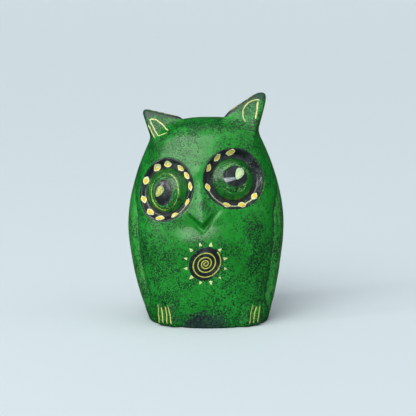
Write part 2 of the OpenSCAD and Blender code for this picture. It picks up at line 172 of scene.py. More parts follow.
@dataclass(frozen=True)
class Facing:
    """A working plane on the stone: u to the right, v up and w out of the stone."""

    at: Place
    turn: float = 0.0
    tip: float = 0.0

    def axes(self) -> Array:
        """Rows u, v and w in the row frame.

        Returns:
            A 3 by 3 array, one row per direction.
        """
        t, e = math.radians(self.turn), math.radians(self.tip)
        return np.array(
            [
                [math.cos(t), math.sin(t), 0],
                [-math.sin(t) * math.sin(e), math.cos(t) * math.sin(e), math.cos(e)],
                [math.sin(t) * math.cos(e), -math.cos(t) * math.cos(e), math.sin(e)],
            ]
        )

    def local(self, p: Array) -> Array:
        """Points of the row frame in this plane's u, v and w."""
        return (p - np.array(self.at)) @ self.axes().T

    def world(self, uvw: Array) -> Array:
        """Points given in u, v and w, in the row frame."""
        return np.array(self.at) + uvw @ self.axes()


# ---- Outline of the stone ----


@dataclass(frozen=True)
class EarTuft:
    """An ear carved as a wedge. Each flat is (share of u, share of v, share of w, reach)."""

    face: Facing
    top: Flat
    outer: Flat
    inner: Flat
    back: Flat
    tip_round: float

    def flat(self, q: Array, flat: Flat) -> Array:
        """How far points of the working plane stand out of one flat."""
        return q @ np.array(flat[:3]) - flat[3]

    def distance(self, p: Array) -> Array:
        """Distance to the wedge, whose edges are rubbed round.

        Args:
            p: Points, one per row.

        Returns:
            The signed distance of each point.
        """
        q = self.face.local(p)
        d = smooth_cut(self.flat(q, self.top), self.flat(q, self.outer), self.tip_round)
        d = smooth_cut(d, self.flat(q, self.inner), 2.0)
        d = smooth_cut(d, self.flat(q, self.back), 2.6)
        d = smooth_cut(d, -2.0 - q[:, 1], 2.0)
        return smooth_cut(d, q[:, 2], 1.3)

    def dark(self, p: Array) -> Array:
        """Where the tip, the top edge and the back are painted dark.

        Args:
            p: Points, one per row.

        Returns:
            1 where it is dark, 0 where it is green.
        """
        q = self.face.local(p)
        top, outer = self.flat(q, self.top), self.flat(q, self.outer)
        tip = smooth_step(-5.6, -3.4, top + 0.55 * outer)
        rim = smooth_step(-2.6, -1.0, top)
        behind = smooth_step(-1.2, -2.4, q[:, 2]) * smooth_step(-5.0, -2.5, top)
        return np.maximum(np.maximum(tip, rim), behind)

    def rub_and_highlight(self, p: Array) -> Array:
        """Where the edge between the front and the top is rubbed to straw colour, partly as a painted rim
        highlight.

        Args:
            p: Points, one per row.

        Returns:
            1 or more where it is rubbed and highlit, 0 elsewhere.
        """
        q = self.face.local(p)
        top = np.hypot(self.flat(q, self.top), q[:, 2])
        outer = np.hypot(self.flat(q, self.outer), q[:, 2])
        return np.maximum(1.1 * hill(top, 0, 0.8), hill(outer, 0, 0.7))


@dataclass
class Stone:
    """The whole carved block as a distance field, in millimetres and degrees.

    The outline is given at its base, at its fullest level and where the dome starts. groove,
    nose_rise, crest_rise, under_cut and trench are how far hand work moves the skin, and
    inset is how far all of it stays inside the solids.
    """

    crown_h: float = 78.6
    body_w: float = 60.0
    base_w: float = 46.0
    head_w: float = 41.6
    waist_z: float = 38.0
    dome_z: float = 71.5
    lean: float = 1.2
    base_round: float = 0.9
    base_front: float = 19.0
    belly_front: float = 23.5
    belly_z: float = 30.0
    brow_front: float = 14.5
    base_back: float = 17.0
    back_reach: float = 20.5
    nape_back: float = 12.5
    crown_tilt: float = 0.022
    wing_z: Pair = (5.0, 56.0)
    wing_deg: Pair = (66.0, 126.0)
    wing_sweep: float = 20.0
    groove: float = 1.05
    nose_rise: float = 0.5
    crest_rise: float = 1.2
    under_cut: float = 0.6
    trench: float = 0.45
    hand_wave: float = 0.022
    inset: float = 0.16
    beak_at: Pair = (-2.8, 45.8)
    beak_peak: Place = (0.4, -4.7, 3.7)
    left_ear_at: Place = (-17.0, -9.6, 69.0)
    right_ear_at: Place = (13.5, -11.0, 69.0)
    ear_slope: float = 28.0
    foot_x: Pair = (-16.2, 16.4)
    foot_turn: float = 36.0
    foot_rise: float = 1.2
    foot_level: float = 10 / 3
    seed: int = 11
    _z: Array = field(init=False, repr=False)
    _rows: Array = field(init=False, repr=False)
    _waves: Array = field(init=False, repr=False)

    def __post_init__(self) -> None:
        """Works out the outline curves once, at fine levels."""
        z = np.linspace(-6, 96, 2041)
        self._z = z
        half = self._curve(z, self.base_w / 2, self.body_w / 2, self.head_w / 2, self.waist_z, 1.78, 1.83)
        front = self._curve(z, self.base_front, self.belly_front, self.brow_front, self.belly_z, 1.8, 1.7)
        rear = self._curve(z, self.base_back, self.back_reach, self.nape_back, self.waist_z, 1.8, 2.0)
        power = 2.1 + 0.5 * np.clip(z / self.crown_h, 0, 1.2) ** 1.5
        self._rows = np.stack([half, front, rear, power])
        rng = np.random.default_rng(self.seed)
        turns = rng.normal(size=(9, 3))
        turns /= np.linalg.norm(turns, axis=1)[:, None]
        lengths = rng.uniform(9, 24, size=(9, 1))
        phases = rng.uniform(0, math.tau, size=(9, 1))
        self._waves = np.hstack([turns * math.tau / lengths, phases])

    def _curve(
        self, z: Array, foot: float, full: float, last: float, at: float, low: float, high: float
    ) -> Array:
        """One outline curve: out from the foot to its fullest level, then in to the dome.

        Args:
            z: Levels.
            foot: Reach at the base.
            full: Reach at the fullest level.
            last: Reach where the dome starts.
            at: The fullest level.
            low: How round the curve is below it.
            high: How round it is above it.

        Returns:
            The reach at each level.
        """
        under = foot + (full - foot) * (1 - np.maximum(1 - z / at, 0) ** low)
        over = full - (full - last) * (np.maximum(z - at, 0) / (self.dome_z - at)) ** high
        return np.maximum(np.where(z < at, under, over), 2)

    def _level(self, z: Array, row: int) -> Array:
        """An outline curve's value at each level."""
        return np.interp(z, self._z, self._rows[row])

    def middle(self, z: Array) -> Array:
        """How far the section's middle is to the right of the base's middle."""
        return -self.lean * (1 - np.maximum(1 - z / self.waist_z, 0) ** 2)

    def _plain(self, p: Array) -> Array:
        """The lofted block, as a number that is 0 on its skin.

        Args:
            p: Points, one per row.

        Returns:
            Negative inside, positive outside.
        """
        x, y, z = p.T
        n = self._level(z, 3)
        side = np.abs(x - self.middle(z)) / self._level(z, 0)
        deep = np.abs(y) / np.where(y < 0, self._level(z, 1), self._level(z, 2))
        q = (side**n + deep**n) ** (1 / n)
        full = (self.crown_h - self.dome_z) / math.sin(math.radians(77))
        lift = self.crown_tilt * x * smooth_step(50, 75, z)
        t = np.maximum((z - lift - self.dome_z) / full, 0)
        return (q**2.5 + t**2.5) ** (1 / 2.5) - 1

    def block(self, p: Array) -> Array:
        """Distance to the lofted block.

        Args:
            p: Points, one per row.

        Returns:
            The signed distance of each point.
        """
        g = self._plain(p)
        slope = np.linalg.norm(gradient(self._plain, p), axis=1)
        return g / np.maximum(slope, 1e-3)

    def _wing_oval(self, p: Array) -> Array:
        """Negative inside a wing's outline, 0 on its edge.

        Args:
            p: Points, one per row.

        Returns:
            One number per point.
        """
        x, y, z = p.T
        turn = np.degrees(np.arctan2(np.abs(x - self.middle(z)), -y))
        mid = sum(self.wing_deg) / 2 - self.wing_sweep * np.maximum(1 - z / self.waist_z, 0) ** 3
        half = (self.wing_deg[1] - self.wing_deg[0]) / 2
        mid_z, half_z = sum(self.wing_z) / 2, (self.wing_z[1] - self.wing_z[0]) / 2
        return (np.abs(turn - mid) / half) ** 2.4 + (np.abs(z - mid_z) / half_z) ** 3.5 - 1

    def wing_depth(self, p: Array) -> Array:
        """How far a point of the skin lies inside a wing's edge; negative outside.

        Args:
            p: Points, one per row.

        Returns:
            Distances in mm, up to 12 either way.
        """
        e = self._wing_oval(p)
        slope = np.linalg.norm(gradient(self._wing_oval, p), axis=1)
        return np.clip(-e / np.maximum(slope, 1e-3), -12, 12)

    def _carving(self, p: Array, edge: Array) -> Array:
        """How far the wing grooves, the nose and hand work move the skin inward.

        Args:
            p: Points, one per row.
            edge: How far each one is inside a wing's edge.

        Returns:
            Distances in mm.
        """
        x, y, z = p.T
        ahead = y < 0
        away = np.abs(edge)
        cut = self.groove * np.exp(-((away / 1.9) ** 1.5)) + 0.3 * np.exp(-away / 0.4)
        cut = cut * smooth_step(4.0, 13.0, z) * (1 - smooth_step(41, 51, z))
        nose = hill(x, -3.7, 2.3) * smooth_step(48, 53, z) * (1 - smooth_step(60, 66, z)) * ahead
        crest = hill(z, 32.5, 5.5) * hill(x, -3, 15) * ahead
        under = hill(z, 40, 2.6) * hill(x, -2.6, 6.5) * ahead
        trench = hill(self.beak(p), 0.8, 0.8) * ahead
        for side in (-1, 1):
            trench = trench + hill(self.foot(p, side), 0.7, 0.7) * ahead
        hand = self.hand_wave * np.sin(p @ self._waves[:, :3].T + self._waves[:, 3]).sum(axis=1)
        cut = cut - self.nose_rise * nose - self.crest_rise * crest
        return cut + self.under_cut * under + self.trench * trench + hand + self.inset

    def ear(self, side: int) -> EarTuft:
        """The ear tuft of one side.

        Args:
            side: -1 for the left one, 1 for the right one.

        Returns:
            The wedge.
        """
        if side < 0:
            return EarTuft(
                face=Facing(self.left_ear_at, 0, self.ear_slope),
                top=(0.239, 0.971, 0, 13.15),
                outer=(-0.938, -0.346, 0, 3.1),
                inner=(0.94, 0.34, 0, 10.6),
                back=(0, 0.506, -0.863, 10.3),
                tip_round=2.8,
            )
        return EarTuft(
            face=Facing(self.right_ear_at, 0, self.ear_slope),
            top=(-0.576, 0.817, 0, 15.35),
            outer=(0.958, -0.287, 0, 2.45),
            inner=(-0.94, 0.34, 0, 11.5),
            back=(0, 0.473, -0.881, 13.2),
            tip_round=6.3,
        )

    def beak_face(self) -> Facing:
        """The beak's working plane."""
        x, z = self.beak_at
        return Facing((x, self.front_y(x, z), z), 0, 8)

    def front_y(self, x: float, z: float) -> float:
        """The block's front skin straight ahead of a point x across and z up.

        Args:
            x: Distance to the right of the middle.
            z: Level over the base.

        Returns:
            The y of the skin.
        """
        half, front, _, n = (float(np.interp(z, self._z, row)) for row in self._rows)
        share = abs(x - float(self.middle(np.array(z)))) / half
        return -front * (1 - share**n) ** (1 / n)

    def beak(self, p: Array) -> Array:
        """Distance to the beak: four flats that meet on a hooked ridge.

        Args:
            p: Points, one per row.

        Returns:
            The signed distance of each point.
        """
        q = self.beak_face().local(p)
        rim = [(-0.3, 7.4, -0.2), (-5.3, -0.9, -0.7), (0.5, -6.6, -0.4), (5.2, -0.5, -0.7)]
        peak = np.array(self.beak_peak)
        flats = []
        for i, corner in enumerate(rim):
            a, b = np.array(corner), np.array(rim[(i + 1) % 4])
            out = np.cross(b - a, peak - a)
            flats.append((q - a) @ (out / np.linalg.norm(out)))
        upper = smooth_cut(flats[0], flats[3], 2.0)
        lower = smooth_cut(flats[1], flats[2], 0.5)
        d = smooth_cut(upper, lower, 0.6)
        return smooth_cut(d, -4.0 - q[:, 2], 0.7)

    def foot_face(self, side: int) -> Facing:
        """The front of the left (-1) or right (1) toe pad.

        Args:
            side: -1 for the left one, 1 for the right one.

        Returns:
            Its working plane.
        """
        x = self.foot_x[0 if side < 0 else 1]
        turn = math.radians(self.foot_turn)
        y = self.front_y(x, self.foot_level)
        at = (x + self.foot_rise * side * math.sin(turn), y - self.foot_rise * math.cos(turn), 0)
        return Facing(at, side * self.foot_turn, 0)

    def foot(self, p: Array, side: int) -> Array:
        """Distance to a low toe pad at the front of the base.

        Args:
            p: Points, one per row.
            side: -1 for the left one, 1 for the right one.

        Returns:
            The signed distance of each point.
        """
        q = self.foot_face(side).local(p)
        heel, top = np.array([2.17, 2.7, -3.4]), np.array([2.5, 7.9, -2.1])
        toes = [round_cone(q, heel * (s, 1, 1), top * (s, 1, 1), 3.33, 2.0) for s in (-1, 1)]
        return smooth_union(toes[0], toes[1], 2.0)

    def features(self) -> list[tuple[str, Rule, float]]:
        """Fields of the ears, beak and feet with the fillet each one has.

        Returns:
            Name, distance and fillet of each one.
        """
        return [
            ("left_ear_tuft", self.ear(-1).distance, 1.3),
            ("right_ear_tuft", self.ear(1).distance, 1.8),
            ("beak", self.beak, 0.5),
            ("left_foot", partial(self.foot, side=-1), 0.8),
            ("right_foot", partial(self.foot, side=1), 0.8),
        ]

    def distance(self, p: Array) -> Array:
        """Distance to the whole carved stone, eyes not yet sunk.

        Args:
            p: Points, one per row.

        Returns:
            The signed distance of each point.
        """
        d = self.block(p) + self._carving(p, self.wing_depth(p))
        for _, shape, fillet in self.features():
            d = smooth_union(d, shape(p), fillet)
        return smooth_cut(d, -p[:, 2], self.base_round)

    def drape(self, face: Facing, uv: Array, start: float = 9.0) -> Array:
        """Height of the skin over a working plane.

        Args:
            face: The plane.
            uv: Points on it, one per row.
            start: Height from which to look down at the stone.

        Returns:
            The w of the skin at each point.
        """
        w = np.full(len(uv), start)
        for _ in range(26):
            w = w - 0.92 * self.distance(face.world(np.column_stack([uv, w])))
        return w


# ---- Meshes ----


@dataclass
class Shape:
    """Points in mm with faces, and values painted on the points."""

    points: Array
    faces: Faces
    marks: Marks = field(default_factory=dict)
    normals: Array | None = None

    def piece(self, name: str, material: Material, slot: Slot) -> None:
        """Turns the shape into a piece that rides on the frame in place of the solid of its name.

        Args:
            name: Name of the piece and of the solid that it stands for.
            material: Its finish.
            slot: The record's material slot; not used.
        """
        mesh = bpy.data.meshes.new(name)
        mesh.from_pydata((self.points * MM).tolist(), [], self.faces)
        mesh.polygons.foreach_set("use_smooth", [True] * len(mesh.polygons))
        for mark, values in self.marks.items():
            layer = mesh.attributes.new(mark, "FLOAT", "POINT")
            layer.data.foreach_set("value", np.asarray(values, np.float32))
        mesh.materials.append(material)
        mesh.update()
        if self.normals is not None:
            mesh.normals_split_custom_set_from_vertices(self.normals.tolist())
        piece = bpy.data.objects.new(name, mesh)
        bpy.context.scene.collection.objects.link(piece)
        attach(piece, ROOT)
        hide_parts(name)
        log.info("%s: %d faces", name, len(self.faces))


def joined(shapes: list[Shape]) -> Shape:
    """Several shapes as one.

    Args:
        shapes: Shapes with the same marks.

    Returns:
        The one shape.
    """
    faces, points, start = [], [], 0
    for shape in shapes:
        faces += [tuple(i + start for i in f) for f in shape.faces]
        points.append(shape.points)
        start += len(shape.points)
    marks = {name: np.concatenate([s.marks[name] for s in shapes]) for name in shapes[0].marks}
    return Shape(np.vstack(points), faces, marks)


def patch(face: Facing, outline: Array, height: Rule, lift: float, depth: float, rings: int = 6) -> Shape:
    """A thin closed inlay that follows the skin, with its edge let into it.

    Args:
        face: The working plane.
        outline: Its outline in u and v, anticlockwise.
        height: A function that gives the skin's w over the plane.
        lift: How far its middle stands over the skin.
        depth: How far it goes into the stone.
        rings: Rings of points from the edge to the middle.

    Returns:
        The closed shape.
    """
    middle = outline.mean(axis=0)
    count = len(outline)
    shares = [1 - (i / rings) ** 1.6 for i in range(rings)]
    levels = [middle + (outline - middle) * s for s in shares]
    uv = np.vstack([*levels, middle[None]])
    w = height(uv)
    rise = np.full(len(uv), lift)
    rise[:count] *= -0.7  # the edge is let into the skin
    top = np.column_stack([uv, w + rise])
    low = np.column_stack([outline, w[:count] - depth])
    faces = []
    for r in range(rings - 1):
        a, b = r * count, (r + 1) * count
        faces += [(a + i, a + (i + 1) % count, b + (i + 1) % count, b + i) for i in range(count)]
    last, tip, under = (rings - 1) * count, rings * count, rings * count + 1
    faces += [(last + i, last + (i + 1) % count, tip) for i in range(count)]
    faces += [(under + i, under + (i + 1) % count, (i + 1) % count, i) for i in range(count)]
    faces.append(tuple(under + i for i in range(count - 1, -1, -1)))
    inward = np.concatenate([np.repeat(1 - np.array(shares), count), [1.0], np.zeros(count)])
    return Shape(face.world(np.vstack([top, low])), faces, {"inward": inward})


def strip(
    face: Facing, path: Array, widths: Array, height: Rule, lift: float, depth: float, loop: bool = False
) -> Shape:
    """A scratched line as a thin closed inlay with a hollow middle.

    Args:
        face: The working plane.
        path: Points in u and v along the line.
        widths: The line's width at each point.
        height: A function that gives the skin's w over the plane.
        lift: How far its shoulders stand over the skin.
        depth: How far it goes into the stone.
        loop: True if its end meets its start.

    Returns:
        The closed shape.
    """
    if loop:
        run = np.roll(path, -1, axis=0) - np.roll(path, 1, axis=0)
    else:
        run = np.gradient(path, axis=0)
    run /= np.linalg.norm(run, axis=1)[:, None]
    side = np.column_stack([-run[:, 1], run[:, 0]])
    across = [(-0.5, -0.9), (-0.36, 0.9), (0.0, 0.2), (0.36, 0.9), (0.5, -0.9)]
    rows = [path + side * (s * widths)[:, None] for s, _ in across]
    tops = [np.column_stack([uv, height(uv) + lift * up]) for uv, (_, up) in zip(rows, across)]
    lows = [np.column_stack([rows[i], tops[i][:, 2] - depth]) for i in (4, 0)]
    around = tops + lows
    count, laps = len(path), len(around)
    ends = count if loop else count - 1
    faces = []
    for r in range(laps):
        a, b = r * count, ((r + 1) % laps) * count
        faces += [(a + i, a + (i + 1) % count, b + (i + 1) % count, b + i) for i in range(ends)]
    if not loop:
        faces.append(tuple(r * count for r in range(laps)))
        faces.append(tuple(r * count + count - 1 for r in range(laps - 1, -1, -1)))
    inward = np.repeat([0.0, 0.4, 0.8, 0.4, 0.0, 0.0, 0.0], count)
    return Shape(face.world(np.vstack(around)), faces, {"inward": inward})


def raised(height: Rule, by: float) -> Rule:
    """The same height, lifted by a little."""
    return lambda uv: height(uv) + by


def oval(rx: float, ry: float, start: float = 0, end: float = 360, count: int = 64) -> Array:
    """Points on an ellipse; a full turn leaves out the repeated last point.

    Args:
        rx: Half its width.
        ry: Half its height.
        start: Where it starts, in degrees.
        end: Where it ends.
        count: How many points it has.

    Returns:
        Points in u and v.
    """
    full = abs(end - start) >= 360
    a = np.radians(np.linspace(start, end, count, endpoint=not full))
    return np.column_stack([rx * np.cos(a), ry * np.sin(a)])


def pointed(widths: Array) -> Array:
    """The same line widths, run out to a point at both ends.

    Args:
        widths: The line's width at each point.

    Returns:
        The changed widths.
    """
    widths[:3] *= (0.4, 0.7, 0.9)
    widths[-3:] *= (0.9, 0.7, 0.4)
    return widths


def turned(uv: Array, degrees: float) -> Array:
    """Points turned anticlockwise about the plane's middle."""
    c, s = math.cos(math.radians(degrees)), math.sin(math.radians(degrees))
    return uv @ np.array([[c, s], [-s, c]])


def rough_line(path: Array, rng: np.random.Generator, step: float = 0.25, wobble: float = 0.06) -> Array:
    """A hand-drawn run through the given points.

    Args:
        path: Corner points.
        rng: Source of the hand's small errors.
        step: Distance between the new points.
        wobble: Size of the errors, in mm.

    Returns:
        Points along the run.
    """
    lengths = np.concatenate([[0], np.cumsum(np.linalg.norm(np.diff(path, axis=0), axis=1))])
    count = max(4, int(lengths[-1] / step))
    s = np.linspace(0, lengths[-1], count)
    line = np.column_stack([np.interp(s, lengths, path[:, i]) for i in (0, 1)])
    for _ in range(3):
        line[1:-1] = (line[:-2] + line[1:-1] * 2 + line[2:]) / 4
    shake = rng.normal(size=(count, 2)) * wobble
    for _ in range(4):
        shake[1:-1] = (shake[:-2] + shake[1:-1] + shake[2:]) / 3
    return line + shake * 1.6


# ---- Skin of the stone ----


@dataclass
class Skin:
    """The stone's surface as an even net of four-sided faces."""

    stone: Stone
    step: float = 0.42
    points: Array = field(init=False, repr=False)
    quads: Array = field(init=False, repr=False)
    _edges: Array = field(init=False, repr=False)

    def __post_init__(self) -> None:
        """Finds the net, then settles it on the exact surface."""
        low, high = (np.array(c) / MM for c in CAD_BOX)
        low, high = low - 3 * self.step, high + 3 * self.step
        axes = [np.arange(a, b, self.step) for a, b in zip(low, high)]
        size = tuple(len(a) for a in axes)
        values = np.empty(size, np.float32)
        for i, x in enumerate(axes[0]):
            y, z = np.meshgrid(axes[1], axes[2], indexing="ij")
            p = np.column_stack([np.full(y.size, x), y.ravel(), z.ravel()])
            values[i] = self.stone.distance(p).reshape(size[1:])
        self.points, self.quads = self._net(values < 0, low)
        edges = np.vstack([self.quads[:, [i, (i + 1) % 4]] for i in range(4)])
        self._edges = np.vstack([edges, edges[:, ::-1]])
        for share in (0.0, 0.9, 0.9, 0.9, 0.6, 0.6, 0.0):
            self._settle(share)

    def _net(self, inside: Array, low: Array) -> tuple[Array, Array]:
        """One point per grid cell that the surface crosses, and the faces between them.

        Args:
            inside: True at the grid's corners inside the stone.
            low: The grid's lowest corner.

        Returns:
            Points and four-sided faces.
        """
        nx, ny, nz = (n - 1 for n in inside.shape)
        count = sum(
            inside[i : nx + i, j : ny + j, k : nz + k].astype(np.int8)
            for i in (0, 1)
            for j in (0, 1)
            for k in (0, 1)
        )
        crossed = (count > 0) & (count < 8)
        index = np.full(crossed.shape, -1)
        index[crossed] = np.arange(crossed.sum())
        points = low + (np.argwhere(crossed) + 0.5) * self.step
        quads = []
        for axis in range(3):
            flat = np.moveaxis(inside, axis, 0)
            cells = np.moveaxis(index, axis, 0)
            change = flat[1:] != flat[:-1]
            i, j, k = np.nonzero(change[:, 1:-1, 1:-1])
            j, k = j + 1, k + 1
            corners = [cells[i, j - 1, k - 1], cells[i, j, k - 1], cells[i, j, k], cells[i, j - 1, k]]
            quad = np.column_stack(corners)
            leaving = flat[i, j, k] ^ (axis == 1)
            quad[~leaving] = quad[~leaving][:, ::-1]
            quads.append(quad)
        return points, np.vstack(quads)

    def _average(self, values: Array) -> Array:
        """Mean of each point's neighbours.

        Args:
            values: One row per point.

        Returns:
            The mean rows.
        """
        a, b = self._edges.T
        weight = np.bincount(a, minlength=len(values))
        sums = [np.bincount(a, values[b, i], minlength=len(values)) for i in range(values.shape[1])]
        return np.column_stack(sums) / weight[:, None]

    def _settle(self, share: float) -> None:
        """Evens out the net by a share of the way, then puts it back on the surface.

        Args:
            share: 0 leaves the net as it is, 1 moves each point to its neighbours' mean.
        """
        if share:
            self.points = self.points + share * (self._average(self.points) - self.points)
        self.points = self.to_surface(self.points)

    def to_surface(self, points: Array) -> Array:
        """Points moved straight to the surface.

        Args:
            points: Points near it.

        Returns:
            The moved points.
        """
        slope = gradient(self.stone.distance, points)
        d = self.stone.distance(points)
        step = np.clip(d / np.maximum((slope**2).sum(axis=1), 0.2), -0.6, 0.6)
        return points - slope * step[:, None]

    def normals(self) -> Array:
        """Direction straight out of the skin at each point.

        Returns:
            One unit vector per point.
        """
        p = self.points[self.quads]
        face = np.cross(p[:, 2] - p[:, 0], p[:, 3] - p[:, 1])
        total = np.zeros_like(self.points)
        for i in range(3):
            for corner in range(4):
                total[:, i] += np.bincount(self.quads[:, corner], face[:, i], minlength=len(total))
        return total / np.maximum(np.linalg.norm(total, axis=1), 1e-9)[:, None]

    def snap(self, labels: Array, edge_of: dict[int, Rule]) -> None:
        """Pulls the points between two features onto the features' edge.

        Args:
            labels: The feature of each face.
            edge_of: For each feature, a function that is 0 on its edge.
        """
        for label, edge in edge_of.items():
            mine = np.zeros(len(self.points), bool)
            other = np.zeros(len(self.points), bool)
            mine[self.quads[labels == label].ravel()] = True
            other[self.quads[labels != label].ravel()] = True
            rows = np.nonzero(mine & other)[0]
            for _ in range(3):
                p = self.points[rows]
                slope = gradient(edge, p)
                out = gradient(self.stone.distance, p)
                out /= np.linalg.norm(out, axis=1)[:, None]
                slope -= out * (slope * out).sum(axis=1)[:, None]
                move = edge(p) / np.maximum((slope**2).sum(axis=1), 0.05)
                step = -slope * move[:, None]
                size = np.linalg.norm(step, axis=1)
                step *= np.minimum(1, 0.3 / np.maximum(size, 1e-9))[:, None]
                self.points[rows] = self.to_surface(p + step)


# ---- Shader node trees ----


class Graph:
    """Short words for building one node tree."""

    def __init__(self, tree: bpy.types.NodeTree) -> None:
        """Starts on an empty tree."""
        self.tree = tree
        tree.nodes.clear()

    def add(self, kind: str, **settings: object) -> bpy.types.Node:
        """A new node with its settings.

        Args:
            kind: The node's type.
            settings: Values of its properties.

        Returns:
            The node.
        """
        node = self.tree.nodes.new(kind)
        for name, value in settings.items():
            setattr(node, name, value)
        return node

    def put(self, socket: Socket, value: Value) -> None:
        """Feeds a socket from another socket, or sets its own value.

        Args:
            socket: The socket.
            value: What it gets.
        """
        if isinstance(value, Socket):
            self.tree.links.new(value, socket)
        else:
            socket.default_value = value

    def math(self, operation: str, a: Value, b: Value) -> Socket:
        """A sum of two values.

        Args:
            operation: What is done with them.
            a: First value.
            b: Second value.

        Returns:
            The result.
        """
        node = self.add("ShaderNodeMath", operation=operation)
        self.put(node.inputs[0], a)
        self.put(node.inputs[1], b)
        return node.outputs[0]

    def swing(self, value: Value, by: Value) -> Socket:
        """A noise turned into a change of up to half of by, either way."""
        return self.math("MULTIPLY", self.math("SUBTRACT", value, 0.5), by)

    def span(self, value: Value, low: Value, high: Value, first: float = 0.0, last: float = 1.0) -> Socket:
        """A smooth change from one value to another as the input rises.

        Args:
            value: The input.
            low: Where the change starts.
            high: Where it ends.
            first: The result below it.
            last: The result above it.

        Returns:
            The result.
        """
        node = self.add("ShaderNodeMapRange", interpolation_type="SMOOTHSTEP")
        given = {"Value": value, "From Min": low, "From Max": high, "To Min": first, "To Max": last}
        for name, v in given.items():
            self.put(node.inputs[name], v)
        return node.outputs["Result"]

    def mix(self, share: Value, a: Value, b: Value) -> Socket:
        """Two colours mixed by a share.

        Args:
            share: 0 for the first, 1 for the second.
            a: First colour.
            b: Second colour.

        Returns:
            The mixed colour.
        """
        node = self.add("ShaderNodeMix", data_type="RGBA")
        self.put(node.inputs["Factor"], share)
        self.put(node.inputs[6], a)
        self.put(node.inputs[7], b)
        return node.outputs[2]

    def tint(self, color: Value, mask: Value, share: float, other: Value) -> Socket:
        """A colour mixed with another one under a mask, by a share at most."""
        return self.mix(self.math("MULTIPLY", mask, share), color, other)

    def noise(self, vector: Socket, scale: Value, detail: float, roughness: float) -> Socket:
        """Cloudy noise.

        Args:
            vector: Where it is read.
            scale: Clouds per metre.
            detail: Steps of finer clouds.
            roughness: Strength of the finer ones.

        Returns:
            A value about 0.5.
        """
        node = self.add("ShaderNodeTexNoise")
        given = {"Vector": vector, "Scale": scale, "Detail": detail, "Roughness": roughness}
        for name, v in given.items():
            self.put(node.inputs[name], v)
        return node.outputs[0]

    def scaled(self, vector: Socket, by: Place) -> Socket:
        """A vector stretched along its axes.

        Args:
            vector: The vector.
            by: Stretch along x, y and z.

        Returns:
            The stretched vector.
        """
        node = self.add("ShaderNodeVectorMath", operation="MULTIPLY")
        self.put(node.inputs[0], vector)
        node.inputs[1].default_value = by
        return node.outputs[0]

    def turned(self, vector: Socket, degrees: float) -> Socket:
        """A vector turned about the front-to-back axis.

        Args:
            vector: The vector.
            degrees: How far.

        Returns:
            The turned vector.
        """
        node = self.add("ShaderNodeVectorRotate", rotation_type="Y_AXIS")
        self.put(node.inputs["Vector"], vector)
        node.inputs["Angle"].default_value = math.radians(degrees)
        return node.outputs[0]

    def place(self) -> Socket:
        """Where a point is on the object."""
        return self.add("ShaderNodeTexCoord").outputs["Object"]

    def mark(self, name: str) -> Socket:
        """A value painted on the mesh."""
        return self.add("ShaderNodeAttribute", attribute_name=name).outputs["Fac"]

    def group(self, group: bpy.types.NodeTree, **values: Value) -> bpy.types.Node:
        """A node group placed with its own values.

        Args:
            group: The group.
            values: Values by the names of its inputs.

        Returns:
            The placed node.
        """
        node = self.add("ShaderNodeGroup", node_tree=group)
        for name, value in values.items():
            self.put(node.inputs[name], value)
        return node


def new_group(
    name: str, inputs: dict[str, float | None], outputs: tuple[str, ...]
) -> tuple[bpy.types.NodeTree, Graph, bpy.types.Node, bpy.types.Node]:
    """An empty node group with named sockets.

    Args:
        name: The group's name.
        inputs: Default value of each input, or None for a vector.
        outputs: Names of the values it gives.

    Returns:
        The group, its graph, its input node and its output node.
    """
    tree = bpy.data.node_groups.new(name, "ShaderNodeTree")
    graph = Graph(tree)
    for label, value in inputs.items():
        kind = "NodeSocketVector" if value is None else "NodeSocketFloat"
        socket = tree.interface.new_socket(label, in_out="INPUT", socket_type=kind)
        if value is not None:
            socket.default_value = value
    for label in outputs:
        tree.interface.new_socket(label, in_out="OUTPUT", socket_type="NodeSocketFloat")
    return tree, graph, graph.add("NodeGroupInput"), graph.add("NodeGroupOutput")


